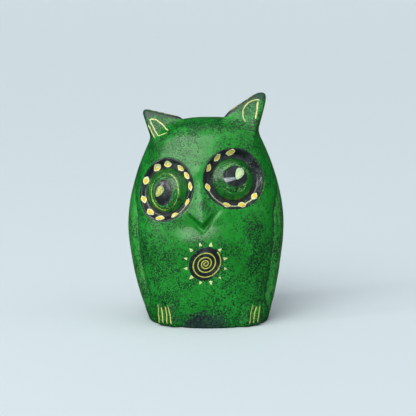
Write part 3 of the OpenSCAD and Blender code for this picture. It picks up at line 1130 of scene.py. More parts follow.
@dataclass
class Effects:
    """Effects that several finishes share, each a node group built once.

    A speck shows where a noise is over an edge. That edge is at fewest with no cover, comes
    down by per_cover as the cover rises, and never goes under most.
    """

    fewest: float = 0.70
    per_cover: float = 0.22
    most: float = 0.51
    blur: float = 0.02
    specks: bpy.types.NodeTree = field(init=False)
    strokes: bpy.types.NodeTree = field(init=False)
    varnish: bpy.types.NodeTree = field(init=False)

    def __post_init__(self) -> None:
        """Builds the groups."""
        self.specks = self._specks()
        self.strokes = self._strokes()
        self.varnish = self._varnish()

    def _specks(self) -> bpy.types.NodeTree:
        """Sponged specks in loose clumps: a mask of fine dots.

        Returns:
            The group.
        """
        inputs = {"Place": None, "Scale": 1200.0, "Cover": 0.4, "Clump": 0.5}
        tree, g, start, end = new_group("sponge specks", inputs, ("Mask",))
        place, scale = start.outputs["Place"], start.outputs["Scale"]
        fine = g.noise(place, scale, 2.0, 0.6)
        clump = g.noise(place, g.math("MULTIPLY", scale, 0.09), 2.0, 0.5)
        loose = g.swing(clump, start.outputs["Clump"])
        edge = g.math("SUBTRACT", self.fewest, g.math("MULTIPLY", start.outputs["Cover"], self.per_cover))
        edge = g.math("MAXIMUM", g.math("SUBTRACT", edge, loose), self.most)
        low, high = g.math("SUBTRACT", edge, self.blur), g.math("ADD", edge, self.blur)
        g.put(end.inputs["Mask"], g.span(fine, low, high))
        return tree

    def _strokes(self) -> bpy.types.NodeTree:
        """Brush strokes drawn out along the vertical: light and dark streaks.

        Returns:
            The group.
        """
        inputs = {"Place": None, "Scale": 900.0, "Break": 0.4}
        tree, g, start, end = new_group("brush strokes", inputs, ("Streak",))
        place, scale = start.outputs["Place"], start.outputs["Scale"]
        long = g.noise(g.scaled(place, (1, 1, 0.06)), scale, 3.0, 0.6)
        gap = g.noise(g.scaled(place, (1, 1, 0.3)), g.math("MULTIPLY", scale, 0.4), 2.0, 0.5)
        gap = g.swing(gap, start.outputs["Break"])
        g.put(end.inputs["Streak"], g.span(g.math("ADD", long, gap), 0.36, 0.66))
        return tree

    def _varnish(self) -> bpy.types.NodeTree:
        """Brushed varnish: slow ripples, small pits, and where it is dull.

        Returns:
            The group.
        """
        inputs = {"Place": None, "Ripple": 1.0, "Pits": 0.3}
        tree, g, start, end = new_group("varnish", inputs, ("Height", "Dull"))
        place = start.outputs["Place"]
        slow = g.math("MULTIPLY", g.noise(place, 130.0, 2.0, 0.4), start.outputs["Ripple"])
        pits = g.math("MULTIPLY", g.noise(place, 1500.0, 2.0, 0.6), start.outputs["Pits"])
        g.put(end.inputs["Height"], g.math("ADD", slow, pits))
        g.put(end.inputs["Dull"], g.span(g.noise(place, 95.0, 4.0, 0.6), 0.35, 0.7))
        return tree


def gloss(
    g: Graph, effects: Effects, color: Socket, rough: float, coat: float, relief: Socket,
    pits: float = 0.3, relief_mm: float = 0.05,
) -> None:
    """Finishes a material: varnished paint with this colour.

    Args:
        g: The material's graph.
        effects: The shared node groups.
        color: The paint's colour.
        rough: Roughness of the paint under the varnish.
        coat: Roughness of the varnish.
        relief: Height of the paint itself.
        pits: Strength of the varnish's pits.
        relief_mm: How high the relief is.
    """
    shader = g.add("ShaderNodeBsdfPrincipled")
    varnish = g.group(effects.varnish, Place=g.place(), Ripple=1.0, Pits=pits)
    bump = g.add("ShaderNodeBump")
    bump.inputs["Strength"].default_value = 0.35
    bump.inputs["Distance"].default_value = 0.12 * MM
    g.put(bump.inputs["Height"], varnish.outputs["Height"])
    under = g.add("ShaderNodeBump")
    under.inputs["Strength"].default_value = 0.6
    under.inputs["Distance"].default_value = relief_mm * MM
    g.put(under.inputs["Height"], relief)
    g.put(bump.inputs["Normal"], under.outputs["Normal"])
    g.put(shader.inputs["Base Color"], color)
    g.put(shader.inputs["Roughness"], g.span(varnish.outputs["Dull"], 0.0, 1.0, rough, rough + 0.14))
    g.put(shader.inputs["Normal"], bump.outputs["Normal"])
    g.put(shader.inputs["Coat Normal"], bump.outputs["Normal"])
    shader.inputs["Coat Weight"].default_value = 0.68
    shader.inputs["Specular IOR Level"].default_value = 0.15
    shader.inputs["Coat Roughness"].default_value = coat
    shader.inputs["Coat IOR"].default_value = 1.5
    out = g.add("ShaderNodeOutputMaterial")
    g.put(out.inputs["Surface"], shader.outputs["BSDF"])


def new_material(name: str) -> tuple[Material, Graph]:
    """A material with no nodes yet.

    Args:
        name: Its name.

    Returns:
        The material and its graph.
    """
    material = bpy.data.materials.new(name)
    material.use_nodes = True
    return material, Graph(material.node_tree)


@dataclass(frozen=True)
class GreenPaint:
    """Green paint, sponged with dark specks, with painted shade in the carved hollows."""

    green: Color = (0.001, 0.195, 0.008, 1)
    fresh: Color = (0.007, 0.275, 0.022, 1)
    mid: Color = (0.001, 0.115, 0.008, 1)
    deep: Color = (0.002, 0.022, 0.010, 1)
    stipple: Color = (0.012, 0.070, 0.032, 1)
    # Dark paint, also used for painted shade in the hollows
    dark: Color = (0.010, 0.016, 0.020, 1)
    # Straw: rubbed stone colour, also used for painted highlights
    straw: Color = (0.42, 0.40, 0.07, 1)
    brushed: Color = (0.05, 0.34, 0.06, 1)
    dry: Color = (0.22, 0.44, 0.12, 1)
    streaks: float = 0.0

    def material(self, name: str, effects: Effects) -> Material:
        """The finish.

        Args:
            name: The material's name.
            effects: The shared node groups.

        Returns:
            The material.
        """
        material, g = new_material(name)
        place = g.place()
        cloud = g.span(g.noise(place, 70.0, 4.0, 0.55), 0.30, 0.70)
        color = g.mix(cloud, self.green, self.fresh)
        if self.streaks:
            streak = g.group(effects.strokes, Place=place, Scale=900.0, Break=0.5).outputs["Streak"]
            color = g.tint(color, streak, self.streaks, self.brushed)
            hairs = g.group(effects.strokes, Place=place, Scale=2100.0, Break=0.9).outputs["Streak"]
            color = g.tint(color, g.span(hairs, 0.82, 1.0), 0.35, self.dry)
        mottle = g.span(g.noise(place, 420.0, 4.0, 0.65), 0.46, 0.66)
        color = g.tint(color, mottle, 0.55, self.mid)
        # Speck cover: sponged specks, with painted shade on the beak's right side and a painted highlight on
        # the upper chest
        cover = g.math("ADD", g.math("MULTIPLY", g.mark("specks_shade_and_highlight"), 0.62), 0.20)
        fine = g.group(effects.specks, Place=place, Scale=2000.0, Cover=cover, Clump=0.6).outputs["Mask"]
        color = g.tint(color, fine, 0.9, self.deep)
        large = g.group(effects.specks, Place=place, Scale=1350.0, Cover=cover, Clump=0.55).outputs["Mask"]
        color = g.tint(color, large, 0.75, self.deep)
        # Dark mark: dark paint on the ears and the base, and painted shade in the wing grooves, round the
        # beak, round the toe pads and just outside the eye rings
        ragged = g.math("ADD", g.mark("dark"), g.swing(g.noise(place, 1000.0, 4.0, 0.75), 1.7))
        tip = g.mix(g.math("MAXIMUM", fine, large), self.dark, self.stipple)
        color = g.mix(g.span(ragged, 0.46, 0.56), color, tip)
        # Straw colour: rubbed paint and flecks, and painted highlight on the ear edges, eye-ring rims, wing
        # edges and toe pads
        worn_and_highlit = g.math("ADD", g.mark("rub_and_highlight"), g.swing(g.noise(place, 900.0, 3.0, 0.6), 0.8))
        color = g.mix(g.span(worn_and_highlit, 0.62, 0.8), color, self.straw)
        gloss(g, effects, color, 0.42, 0.27, fine)
        return material


@dataclass(frozen=True)
class DarkPaint:
    """Blue-black paint with grey clouds and specks, and a pale painted reflection where the pupil's streak
    mark is.
    """

    dark: Color = (0.008, 0.011, 0.014, 1)
    grey: Color = (0.045, 0.065, 0.065, 1)
    speck: Color = (0.11, 0.17, 0.12, 1)
    # Pale colour of the painted reflection streak
    reflection_pale: Color = (0.62, 0.66, 0.66, 1)

    def material(self, name: str, effects: Effects) -> Material:
        """The finish.

        Args:
            name: The material's name.
            effects: The shared node groups.

        Returns:
            The material.
        """
        material, g = new_material(name)
        place = g.place()
        cloud = g.span(g.noise(place, 260.0, 4.0, 0.65), 0.42, 0.72)
        color = g.tint(self.dark, cloud, 0.6, self.grey)
        specks = g.group(effects.specks, Place=place, Scale=1500.0, Cover=0.12, Clump=0.8).outputs["Mask"]
        color = g.tint(color, specks, 0.5, self.speck)
        brushed = g.group(effects.strokes, Place=g.turned(place, 78), Scale=1500.0, Break=0.6)
        streaky = g.math("ADD", g.math("MULTIPLY", brushed.outputs["Streak"], 0.5), 0.45)
        # Painted reflection: a pale streak on the pupil
        color = g.mix(g.math("MULTIPLY", g.mark("reflection_streak"), streaky), color, self.reflection_pale)
        gloss(g, effects, color, 0.38, 0.12, specks, pits=0.5)
        return material


@dataclass(frozen=True)
class IrisPaint:
    """Green paint with paler dry-brushed rings round the pupil."""

    green: Color = (0.004, 0.13, 0.010, 1)
    pale: Color = (0.14, 0.42, 0.12, 1)
    deep: Color = (0.001, 0.018, 0.005, 1)
    rim: Color = (0.004, 0.02, 0.01, 1)

    def material(self, name: str, effects: Effects) -> Material:
        """The finish.

        Args:
            name: The material's name.
            effects: The shared node groups.

        Returns:
            The material.
        """
        material, g = new_material(name)
        place = g.place()
        wander = g.math("MULTIPLY", g.noise(place, 300.0, 3.0, 0.6), 0.14)
        ring = g.math("ADD", g.mark("ring"), wander)
        band = g.math("MULTIPLY", g.span(ring, 0.46, 0.58), g.span(ring, 0.94, 0.80))
        spun = g.add("ShaderNodeCombineXYZ")
        g.put(spun.inputs[0], g.math("MULTIPLY", ring, 14.0))
        g.put(spun.inputs[1], g.math("MULTIPLY", g.noise(place, 160.0, 1.0, 0.5), 5.0))
        broken = g.span(g.noise(spun.outputs[0], 1.0, 2.0, 0.6), 0.50, 0.66)
        color = g.tint(self.green, g.math("MULTIPLY", band, broken), 0.9, self.pale)
        specks = g.group(effects.specks, Place=place, Scale=1900.0, Cover=0.75, Clump=0.6).outputs["Mask"]
        color = g.tint(color, specks, 0.85, self.deep)
        ragged = g.math("ADD", g.mark("ring"), g.swing(g.noise(place, 800.0, 3.0, 0.6), 0.1))
        color = g.tint(color, g.span(ragged, 0.93, 0.99), 0.9, self.rim)
        gloss(g, effects, color, 0.40, 0.16, specks)
        return material


@dataclass(frozen=True)
class Scratch:
    """A knife scratch through the paint: pale stone at its edge, yellow ground in the middle."""

    edge: Color = (0.80, 0.86, 0.50, 1)
    core: Color = (0.78, 0.60, 0.07, 1)
    left_paint: Color = (0.10, 0.22, 0.05, 1)
    core_from: float = 0.12
    left_behind: float = 0.22

    def material(self, name: str, effects: Effects) -> Material:
        """The finish.

        Args:
            name: The material's name.
            effects: The shared node groups.

        Returns:
            The material.
        """
        material, g = new_material(name)
        place = g.place()
        patchy = g.noise(place, 700.0, 3.0, 0.65)
        inward = g.math("ADD", g.mark("inward"), g.swing(patchy, 1.6))
        color = g.mix(g.span(inward, self.core_from, self.core_from + 0.35), self.edge, self.core)
        left = g.group(effects.specks, Place=place, Scale=1500.0, Cover=self.left_behind, Clump=0.5)
        color = g.tint(color, left.outputs["Mask"], 0.75, self.left_paint)
        gloss(g, effects, color, 0.45, 0.2, patchy, pits=0.6, relief_mm=0.12)
        return material


class Line(Enum):
    """The scratched finishes of the owl, each with its material's name."""

    YELLOW = ("yellow scratch", Scratch())
    CREAM = (
        "cream scratch",
        Scratch(edge=(0.66, 0.74, 0.42, 1), core=(0.60, 0.58, 0.12, 1), core_from=0.35, left_behind=0.4),
    )
    THIN = (
        "thin scratch",
        Scratch(edge=(0.40, 0.44, 0.12, 1), core=(0.62, 0.56, 0.14, 1), core_from=0.0, left_behind=0.45),
    )
    OLIVE = (
        "olive scratch",
        Scratch(edge=(0.24, 0.34, 0.05, 1), core=(0.44, 0.46, 0.07, 1), core_from=0.1, left_behind=0.4),
    )
    OLIVE_GLINT = (
        "glint scratch",
        Scratch(edge=(0.30, 0.38, 0.08, 1), core=(0.60, 0.52, 0.12, 1), core_from=0.2, left_behind=0.5),
    )
    PALE_GLINT = (
        "glint scratch",
        Scratch(edge=(0.45, 0.66, 0.38, 1), core=(0.62, 0.72, 0.36, 1), core_from=0.4, left_behind=0.45),
    )
    BROKEN = (
        "broken scratch",
        Scratch(
            edge=(0.12, 0.32, 0.04, 1),
            core=(0.40, 0.52, 0.08, 1),
            left_paint=(0.02, 0.16, 0.02, 1),
            left_behind=0.9,
        ),
    )

    def material(self, effects: Effects) -> Material:
        """This scratch as a material."""
        name, finish = self.value
        return finish.material(name, effects)


# ---- The stone and its carved features ----


@dataclass
class Carving:
    """The stone split into its body, wings, ears, beak and feet."""

    stone: Stone
    skin: Skin
    eyes: list["Eye"]
    wing_t: float = 1.3
    seat_gap: float = 0.02

    def _edges(self) -> dict[str, Rule]:
        """For each feature, a function that is positive inside it.

        Returns:
            The functions by the feature's name.
        """
        stone = self.stone
        edges = {
            "left_wing": lambda p: np.where(p[:, 0] < 0, stone.wing_depth(p), -9.0),
            "right_wing": lambda p: np.where(p[:, 0] > 0, stone.wing_depth(p), -9.0),
        }
        for name, shape, _ in stone.features():
            edges[name] = lambda p, shape=shape: stone.block(p) - shape(p)
        return edges

    def build(self, effects: Effects) -> None:
        """Splits the skin and makes the pieces.

        Args:
            effects: The shared node groups.
        """
        skin, edges = self.skin, self._edges()
        middle = skin.points[skin.quads].mean(axis=1)
        labels = np.zeros(len(middle), int)
        for i, edge in enumerate(edges.values(), 1):
            labels[edge(middle) > 0] = i
        skin.snap(labels, {i: edge for i, edge in enumerate(edges.values(), 1)})
        for eye in self.eyes:
            skin.points = eye.sink(skin.points)
        normals = skin.normals()
        marks = self._marks(skin.points)
        green = GreenPaint().material("green paint", effects)
        wing = GreenPaint(streaks=0.75).material("wing paint", effects)
        body_faces = [tuple(q) for q in skin.quads[labels == 0].tolist()]
        seats, start = [], len(skin.points)
        for i, name in enumerate(edges, 1):
            seam = Seam.SHELL if name.endswith("wing") else Seam.PLUG
            quads = skin.quads[labels == i]
            piece, seat = self._close(quads, normals, seam, start + len(seats))
            seats += seat[0]
            body_faces += seat[1]
            shape = self._compact(piece[0], piece[1], normals, marks)
            slot = Slot.WING if seam is Seam.SHELL else Slot.GREEN
            shape.piece(name, wing if slot is Slot.WING else green, slot)
        points = np.vstack([skin.points, np.array(seats).reshape(-1, 3)])
        self._compact(points, body_faces, normals, marks).piece("body", green, Slot.GREEN)

    def _close(
        self, quads: Array, normals: Array, seam: Seam, first: int
    ) -> tuple[tuple[Array, Faces], tuple[list[Array], Faces]]:
        """Closes a feature at its back, and the body where the feature sat.

        Args:
            quads: The feature's faces.
            normals: Direction out of the skin at each point.
            seam: How the feature is closed.
            first: Index of the first point that the body's seat adds.

        Returns:
            The feature's points and faces, and the seat's points and faces.
        """
        points = self.skin.points
        sides = np.vstack([quads[:, [i, (i + 1) % 4]] for i in range(4)])
        there, back = sides @ (len(points), 1), sides @ (1, len(points))
        border = sides[~np.isin(there, back)]
        faces = [tuple(q) for q in quads.tolist()]
        if seam is Seam.PLUG:
            tip = len(points)
            middle = points[np.unique(border)].mean(axis=0)
            closed = faces + [(b, a, tip) for a, b in border.tolist()]
            seat = [(a, b, first) for a, b in border.tolist()]
            return (np.vstack([points, middle[None]]), closed), ([middle], seat)
        used = np.unique(quads)
        inner = {int(v): len(points) + i for i, v in enumerate(used)}
        seat_of = {int(v): first + i for i, v in enumerate(used)}
        behind = points[used] - normals[used] * self.wing_t
        closed = faces + [tuple(inner[v] for v in reversed(f)) for f in faces]
        closed += [(b, a, inner[a], inner[b]) for a, b in border.tolist()]
        seat = [tuple(seat_of[v] for v in f) for f in faces]
        seat += [(a, b, seat_of[b], seat_of[a]) for a, b in border.tolist()]
        return (np.vstack([points, behind]), closed), (list(behind - normals[used] * self.seat_gap), seat)

    def _compact(self, points: Array, faces: Faces, normals: Array, marks: Marks) -> Shape:
        """Keeps only the points that the faces use, with their marks and normals.

        Args:
            points: All points.
            faces: Faces of one piece.
            normals: Directions for the skin's own points.
            marks: Painted values for the skin's own points.

        Returns:
            The piece's shape.
        """
        used = np.unique(np.concatenate([np.array(f) for f in faces]))
        index = np.zeros(len(points), int)
        index[used] = np.arange(len(used))
        own = used < len(normals)
        kept = {}
        for name, values in marks.items():
            row = np.zeros(len(used))
            row[own] = values[used[own]]
            kept[name] = row
        split = np.zeros((len(used), 3))
        split[own] = normals[used[own]]
        return Shape(points[used], [tuple(int(index[v]) for v in f) for f in faces], kept, split)

    def _marks(self, p: Array) -> Marks:
        """Where the paint is dark and where painted shade lies, how thickly it is specked with painted shade
        and highlight worked into that, and where it is rubbed and where painted highlight lies, for every
        point of the skin.

        Args:
            p: The skin's points.

        Returns:
            Values by the name that the finishes read.
        """
        stone = self.stone
        x, y, z = p.T
        ahead, front = y < 0, smooth_step(2, -8, y)
        wing = stone.wing_depth(p)
        edge, block = np.abs(wing), stone.block(p)
        rim = block - stone.beak(p)
        dark, rub_and_highlight, ears = np.zeros(len(p)), np.zeros(len(p)), np.zeros(len(p))
        # Ears, toes and eyes, with painted shade round the toe pads and just outside the eye rings, a painted
        # highlight on the toe pads, and straw on the ear edges and eye rims that is partly rubbed paint and
        # partly painted highlight
        for side in (-1, 1):
            ear = stone.ear(side)
            near = smooth_step(0.3, 1.6, block) * (side * x > 2)
            ears = np.maximum(ears, near)
            dark = np.maximum(dark, ear.dark(p) * near)
            rub_and_highlight = np.maximum(rub_and_highlight, ear.rub_and_highlight(p) * near)
            toe = block - stone.foot(p, side)
            # Painted shade in the crease round the toe pad
            dark = np.maximum(dark, 0.5 * hill(toe, -0.3, 0.5) * ahead)
            # Painted highlight: the toe pads lightened toward straw colour
            rub_and_highlight = np.maximum(rub_and_highlight, 0.45 * smooth_step(0.4, 1.2, toe) * ahead)
        for eye in self.eyes:
            dark = np.maximum(dark, eye.shadow(p))
            # Straw on the ring rims: rubbed paint and a painted rim highlight
            rub_and_highlight = np.maximum(rub_and_highlight, eye.worn_and_highlit(p))
        # Dark patch at the base, painted shade in the wing grooves and round the beak's rim, deeper under it;
        # then flecks of straw colour, and a straw line on the wings' front edges that is partly painted
        # highlight
        patch_below = hill(z, 0, 8.5) * front * hill(x, -2, 12)
        corner = 0.55 * hill(z, 0, 7) * smooth_step(13, 19, x) * smooth_step(8, -4, y)
        dark = np.maximum(dark, 0.95 * np.maximum(patch_below, corner))
        # Painted shade in the wing grooves
        dark = np.maximum(dark, 0.75 * hill(edge, 0, 0.5) * (z > 6))
        # Painted shade round the beak's rim, deeper under the beak
        under = smooth_step(3, -3, z - stone.beak_at[1])
        dark = np.maximum(dark, (0.44 + 0.2 * under) * hill(rim, -0.1, 0.5) * ahead)
        flecks = hill(x, 1.7, 1.5) * hill(z, 42.4, 1.8) * ahead
        rub_and_highlight = np.maximum(rub_and_highlight, 0.66 * flecks)
        # Straw line along the wings' front edges: partly flecks, partly painted highlight
        rub_and_highlight = np.maximum(rub_and_highlight, 0.5 * hill(edge, 0.9, 0.4) * (y < -2) * (z > 12))
        # More specks on ears, crown, flanks, base and back, and on the beak's right side as painted shade;
        # fewer on wings, and fewer on the upper chest as a painted highlight
        crown = hill(z, 76.6, 1.6) * smooth_step(-18, 8, x) * (y < 3)
        # Painted shade: more specks on the beak's right side
        beak_right_shade = smooth_step(-0.5, 0.5, rim) * smooth_step(-3.0, -2.0, x) * ahead
        specks_shade_and_highlight = 0.30 + 0.4 * ears + 1.1 * crown + 0.5 * beak_right_shade
        specks_shade_and_highlight = specks_shade_and_highlight + 0.3 * smooth_step(10, 20, np.abs(x)) + 0.45 * smooth_step(14, 0, z)
        specks_shade_and_highlight = specks_shade_and_highlight + 0.5 * smooth_step(-6, 12, y) + 0.3 * hill(z, 26, 14) * front
        # Painted highlight: fewer specks on the upper chest under the beak
        specks_shade_and_highlight = specks_shade_and_highlight - 0.35 * (wing > 0.3) - 0.45 * hill(z, 39, 4) * hill(x, -3, 10) * front
        return {"dark": dark, "specks_shade_and_highlight": np.clip(specks_shade_and_highlight, 0, 1.2), "rub_and_highlight": rub_and_highlight}


# ---- Eyes ----


@dataclass
class Eye:
    """One carved eye: a sunk dark ring, a domed iris, a pupil, its glint and the marks.

    Sizes are in mm and angles in degrees, and each _off is a place on the eye's own working
    plane. lozenges are places round the ring, and each link is a line between two of them.
    reach is how far behind its plane the eye still cuts the skin, and wall_at and wall_w are
    where the ring's outer wall starts and how wide it is, as shares of the ring.
    """

    name: str
    stone: Stone
    at: Pair
    turn: float
    tip: float
    ring_r: Pair
    ring_lean: float
    iris_r: float
    pupil_r: Pair
    pupil_off: Pair
    glint_off: Pair
    glint_size: Pair
    lozenges: tuple[float, ...]
    links: tuple[Pair, ...] = ()
    glint_line: Line = Line.PALE_GLINT
    mark_drop: float = 0.0
    # Strength of the painted reflection streak on the pupil
    reflection_streak: float = 0.0
    floor_w: float = -3.35
    dome_rise: float = 3.5
    reach: float = 9.0
    wall_at: float = 0.945
    wall_w: float = 0.17
    edge_sunk: float = 0.06
    iris_seat: float = 0.9
    link_points: int = 26
    lozenge: tuple[Pair, ...] = (
        (1.15, 0.05), (0.3, 0.9), (-0.45, 0.75), (-1.1, -0.1), (-0.3, -0.92), (0.5, -0.72),
    )
    seed: int = 5
    face: Facing = field(init=False)

    def __post_init__(self) -> None:
        """Sets up the working plane."""
        x, z = self.at
        self.face = Facing((x, self.stone.front_y(x, z), z), self.turn, self.tip)

    def _rho(self, uv: Array) -> Array:
        """Share of the way from the ring's middle to its outer edge."""
        flat = turned(uv, self.ring_lean)
        return np.hypot(flat[:, 0] / self.ring_r[0], flat[:, 1] / self.ring_r[1])

    def _bowl(self, uv: Array, skin: Array) -> Array:
        """Height of the sunk ring over the working plane.

        Args:
            uv: Points on the plane.
            skin: Height of the uncut skin there.

        Returns:
            The height of the cut surface.
        """
        rho = self._rho(uv)
        t = np.clip((self.wall_at - rho) / self.wall_w, 0, 1)
        cut = 1 - (1 - t) ** 2.2
        shoulder = smooth_step(1.0, 0.93, rho) * 0.12
        return skin * (1 - cut) + self.floor_w * cut - shoulder * (1 - cut)

    def sink(self, p: Array) -> Array:
        """Sinks the body's skin under the eye.

        Args:
            p: Points of the body's skin.

        Returns:
            The moved points.
        """
        q = self.face.local(p)
        rho = self._rho(q[:, :2])
        hit = (rho < 1) & (q[:, 2] > -self.reach)
        inner = q[hit]
        deep = 0.35 * smooth_step(1.0, 0.955, rho[hit])
        inner[:, 2] = self._bowl(inner[:, :2], inner[:, 2]) - deep
        moved = p.copy()
        moved[hit] = self.face.world(inner)
        return moved

    def shadow(self, p: Array) -> Array:
        """How dark the skin is just outside the ring.

        Args:
            p: Points, one per row.

        Returns:
            0 for green, toward 1 for dark.
        """
        q = self.face.local(p)
        rho = self._rho(q[:, :2])
        return np.where(q[:, 2] > -self.reach, 0.62 * hill(np.maximum(rho, 1), 1, 0.035), 0)

    def worn_and_highlit(self, p: Array) -> Array:
        """How far the ring's outer edge is rubbed and carries a painted rim highlight, mostly on its right
        and below.

        Args:
            p: Points, one per row.

        Returns:
            0 for green, toward 1 for rubbed and highlit.
        """
        q = self.face.local(p)
        rho = self._rho(q[:, :2])
        side = smooth_step(-0.5, 0.8, (0.8 * q[:, 0] - 0.25 * q[:, 1]) / self.ring_r[0])
        return np.where(q[:, 2] > -self.reach, 0.74 * side * hill(rho, 1.035, 0.022), 0)

    def _ring_height(self, uv: Array) -> Array:
        """Height of the finished ring's surface."""
        return self._bowl(uv, self.stone.drape(self.face, uv))

    def _dome(self, uv: Array) -> Array:
        """Height of the iris's dome, with the pupil's flat let into it.

        Args:
            uv: Points on the working plane.

        Returns:
            The w of the dome at each point.
        """
        r = np.clip(np.hypot(uv[:, 0], uv[:, 1]) / self.iris_r, 0, 0.9999)
        dome = self.floor_w + self.dome_rise * (1 - r**2.3) ** 0.85
        off = (uv - np.array(self.pupil_off)) / np.array(self.pupil_r)
        away = np.hypot(off[:, 0], off[:, 1])
        dish = smooth_step(1.75, 1.45, away) * 0.28 + smooth_step(1.08, 0.86, away) * 0.3
        return dome - dish

    def _reflection_streak_at(self, points: Array) -> Array:
        """Where a pale painted reflection lies on the pupil: a wedge from its left edge inward.

        Args:
            points: Points of the pupil in the row frame.

        Returns:
            1 where the painted reflection is, 0 where it is not.
        """
        u, v = (self.face.local(points)[:, :2] - np.array(self.pupil_off)).T
        along = np.clip((u + 5.0) / 7.0, 0, 1)
        half = 1.15 * (1 - 0.75 * along)
        aside = np.abs(v + 1.55 - along) / half
        return self.reflection_streak * smooth_step(1.0, 0.7, aside) * (1 - along) ** 0.8

    def build(self, effects: Effects, dark: Material, scratch: Finishes) -> None:
        """Makes every piece of the eye.

        Args:
            effects: The shared node groups.
            dark: The dark paint.
            scratch: Scratch finishes by slot.
        """
        rng = np.random.default_rng(self.seed)
        self._ring().piece(f"{self.name}_eye_ring", dark, Slot.DARK)
        iris = IrisPaint().material(f"{self.name} iris paint", effects)
        self._iris().piece(f"{self.name}_iris", iris, Slot.IRIS)
        outline = oval(*self.pupil_r, count=72) + np.array(self.pupil_off)
        outline = outline + rng.normal(size=outline.shape) * 0.03
        pupil = patch(self.face, outline, self._dome, 0.05, 0.7, rings=14)
        # Painted reflection streak on the pupil
        pupil.marks["reflection_streak"] = self._reflection_streak_at(pupil.points)
        pupil.piece(f"{self.name}_pupil", dark, Slot.DARK)
        glint = self._teardrop() + np.array(self.glint_off)
        on_pupil = patch(self.face, glint, raised(self._dome, 0.06), 0.05, 0.5)
        on_pupil.piece(f"{self.name}_glint", self.glint_line.material(effects), Slot.CREAM)
        self._eye_marks(rng).piece(f"{self.name}_eye_marks", scratch[Slot.YELLOW], Slot.YELLOW)

    def _teardrop(self) -> Array:
        """The glint's outline: round above, pointed toward the lower left.

        Returns:
            Points in u and v.
        """
        long, wide = self.glint_size
        drop = oval(long, wide, count=28)
        taper = 0.5 + 0.275 * (drop[:, 0] / long + 1)
        drop[:, 1] *= np.clip(taper, 0.35, 1)
        return turned(drop, 58)

    def _ring(self) -> Shape:
        """The dark ring, from under the iris out to its painted edge.

        Returns:
            The closed ring.
        """
        turns, rows = 132, 34
        shares = np.linspace(0.55, 1.0, rows)
        outline = turned(oval(*self.ring_r, count=turns), -self.ring_lean)
        uv = np.vstack([outline * s for s in shares])
        w = self._ring_height(uv) + 0.03
        w[-turns:] -= self.edge_sunk
        top = np.column_stack([uv, w])
        low = np.column_stack([uv, w - 0.3 - 0.5 * np.repeat(1 - shares, turns)])
        size, last = turns * rows, (rows - 1) * turns
        around = [(i, (i + 1) % turns) for i in range(turns)]
        faces = []
        for b in range(0, last, turns):
            c = b + turns
            for i, k in around:
                faces.append((b + i, c + i, c + k, b + k))
                faces.append((size + b + k, size + c + k, size + c + i, size + b + i))
        for i, k in around:
            faces.append((last + i, size + last + i, size + last + k, last + k))
            faces.append((k, size + k, size + i, i))
        return Shape(self.face.world(np.vstack([top, low])), faces)

    def _iris(self) -> Shape:
        """The domed iris with its seat in the ring.

        Returns:
            The closed dome.
        """
        turns, rows = 112, 40
        shares = np.sin(np.radians(np.linspace(90, 0, rows, endpoint=False)))
        outline = oval(self.iris_r, self.iris_r, count=turns)
        uv = np.vstack([*(outline * s for s in shares), [[0, 0]]])
        top = np.column_stack([uv, self._dome(uv)])
        rim = uv[:turns]
        low = np.column_stack([rim, np.full(turns, self.floor_w - self.iris_seat)])
        faces = []
        for r in range(rows - 1):
            b, c = r * turns, (r + 1) * turns
            faces += [(b + i, b + (i + 1) % turns, c + (i + 1) % turns, c + i) for i in range(turns)]
        last, tip = (rows - 1) * turns, rows * turns
        under = tip + 1
        faces += [(last + i, last + (i + 1) % turns, tip) for i in range(turns)]
        faces += [(under + i, under + (i + 1) % turns, (i + 1) % turns, i) for i in range(turns)]
        faces.append(tuple(under + i for i in range(turns - 1, -1, -1)))
        ring = np.concatenate([np.hypot(*uv.T) / self.iris_r, np.ones(turns)])
        return Shape(self.face.world(np.vstack([top, low])), faces, {"ring": ring})

    def _lozenge(self, degrees: float, rng: np.random.Generator) -> Shape:
        """One scraped lozenge on the ring.

        Args:
            degrees: Where it is, anticlockwise from the right.
            rng: Source of the hand's small errors.

        Returns:
            The closed inlay.
        """
        a = math.radians(degrees + self.ring_lean)
        share = 0.875 + rng.uniform(-0.012, 0.012) - self.mark_drop * max(0, math.sin(a))
        rx, ry = self.ring_r[0] * share, self.ring_r[1] * share
        at = turned(np.array([[rx * math.cos(a), ry * math.sin(a)]]), -self.ring_lean)[0]
        run = math.degrees(math.atan2(ry * math.cos(a), -rx * math.sin(a))) - self.ring_lean
        long, wide = 1.75 * rng.uniform(0.85, 1.1), 1.22 * rng.uniform(0.88, 1.12)
        corners = np.array(self.lozenge) * (long, wide) + rng.uniform(-0.14, 0.14, size=(6, 2))
        sides = zip(corners, np.roll(corners, -1, axis=0))
        drop = np.vstack([p + (q - p) * k / 4 for p, q in sides for k in range(4)])
        drop = (np.roll(drop, 1, axis=0) + 2 * drop + np.roll(drop, -1, axis=0)) / 4
        outline = turned(drop, run + rng.uniform(-10, 10)) + at
        return patch(self.face, outline, self._ring_height, 0.07, 0.4, rings=5)

    def _link(self, start: float, end: float, rng: np.random.Generator) -> Shape:
        """A thin line that joins lozenges.

        Args:
            start: Where it starts, in degrees.
            end: Where it ends.
            rng: Source of the hand's small errors.

        Returns:
            The closed inlay.
        """
        rx, ry = self.ring_r[0] * 0.885, self.ring_r[1] * 0.885
        path = oval(rx, ry, start + self.ring_lean, end + self.ring_lean, self.link_points)
        path = turned(path, -self.ring_lean) + rng.normal(size=path.shape) * 0.03
        line = strip(self.face, path, np.full(len(path), 0.5), self._ring_height, 0.06, 0.3)
        line.marks["inward"] *= -1
        return line

    def _eye_marks(self, rng: np.random.Generator) -> Shape:
        """The scraped lozenges round the ring and the lines between them.

        Args:
            rng: Source of the hand's small errors.

        Returns:
            All of them as one shape.
        """
        lozenges = [self._lozenge(degrees, rng) for degrees in self.lozenges]
        return joined(lozenges + [self._link(start, end, rng) for start, end in self.links])


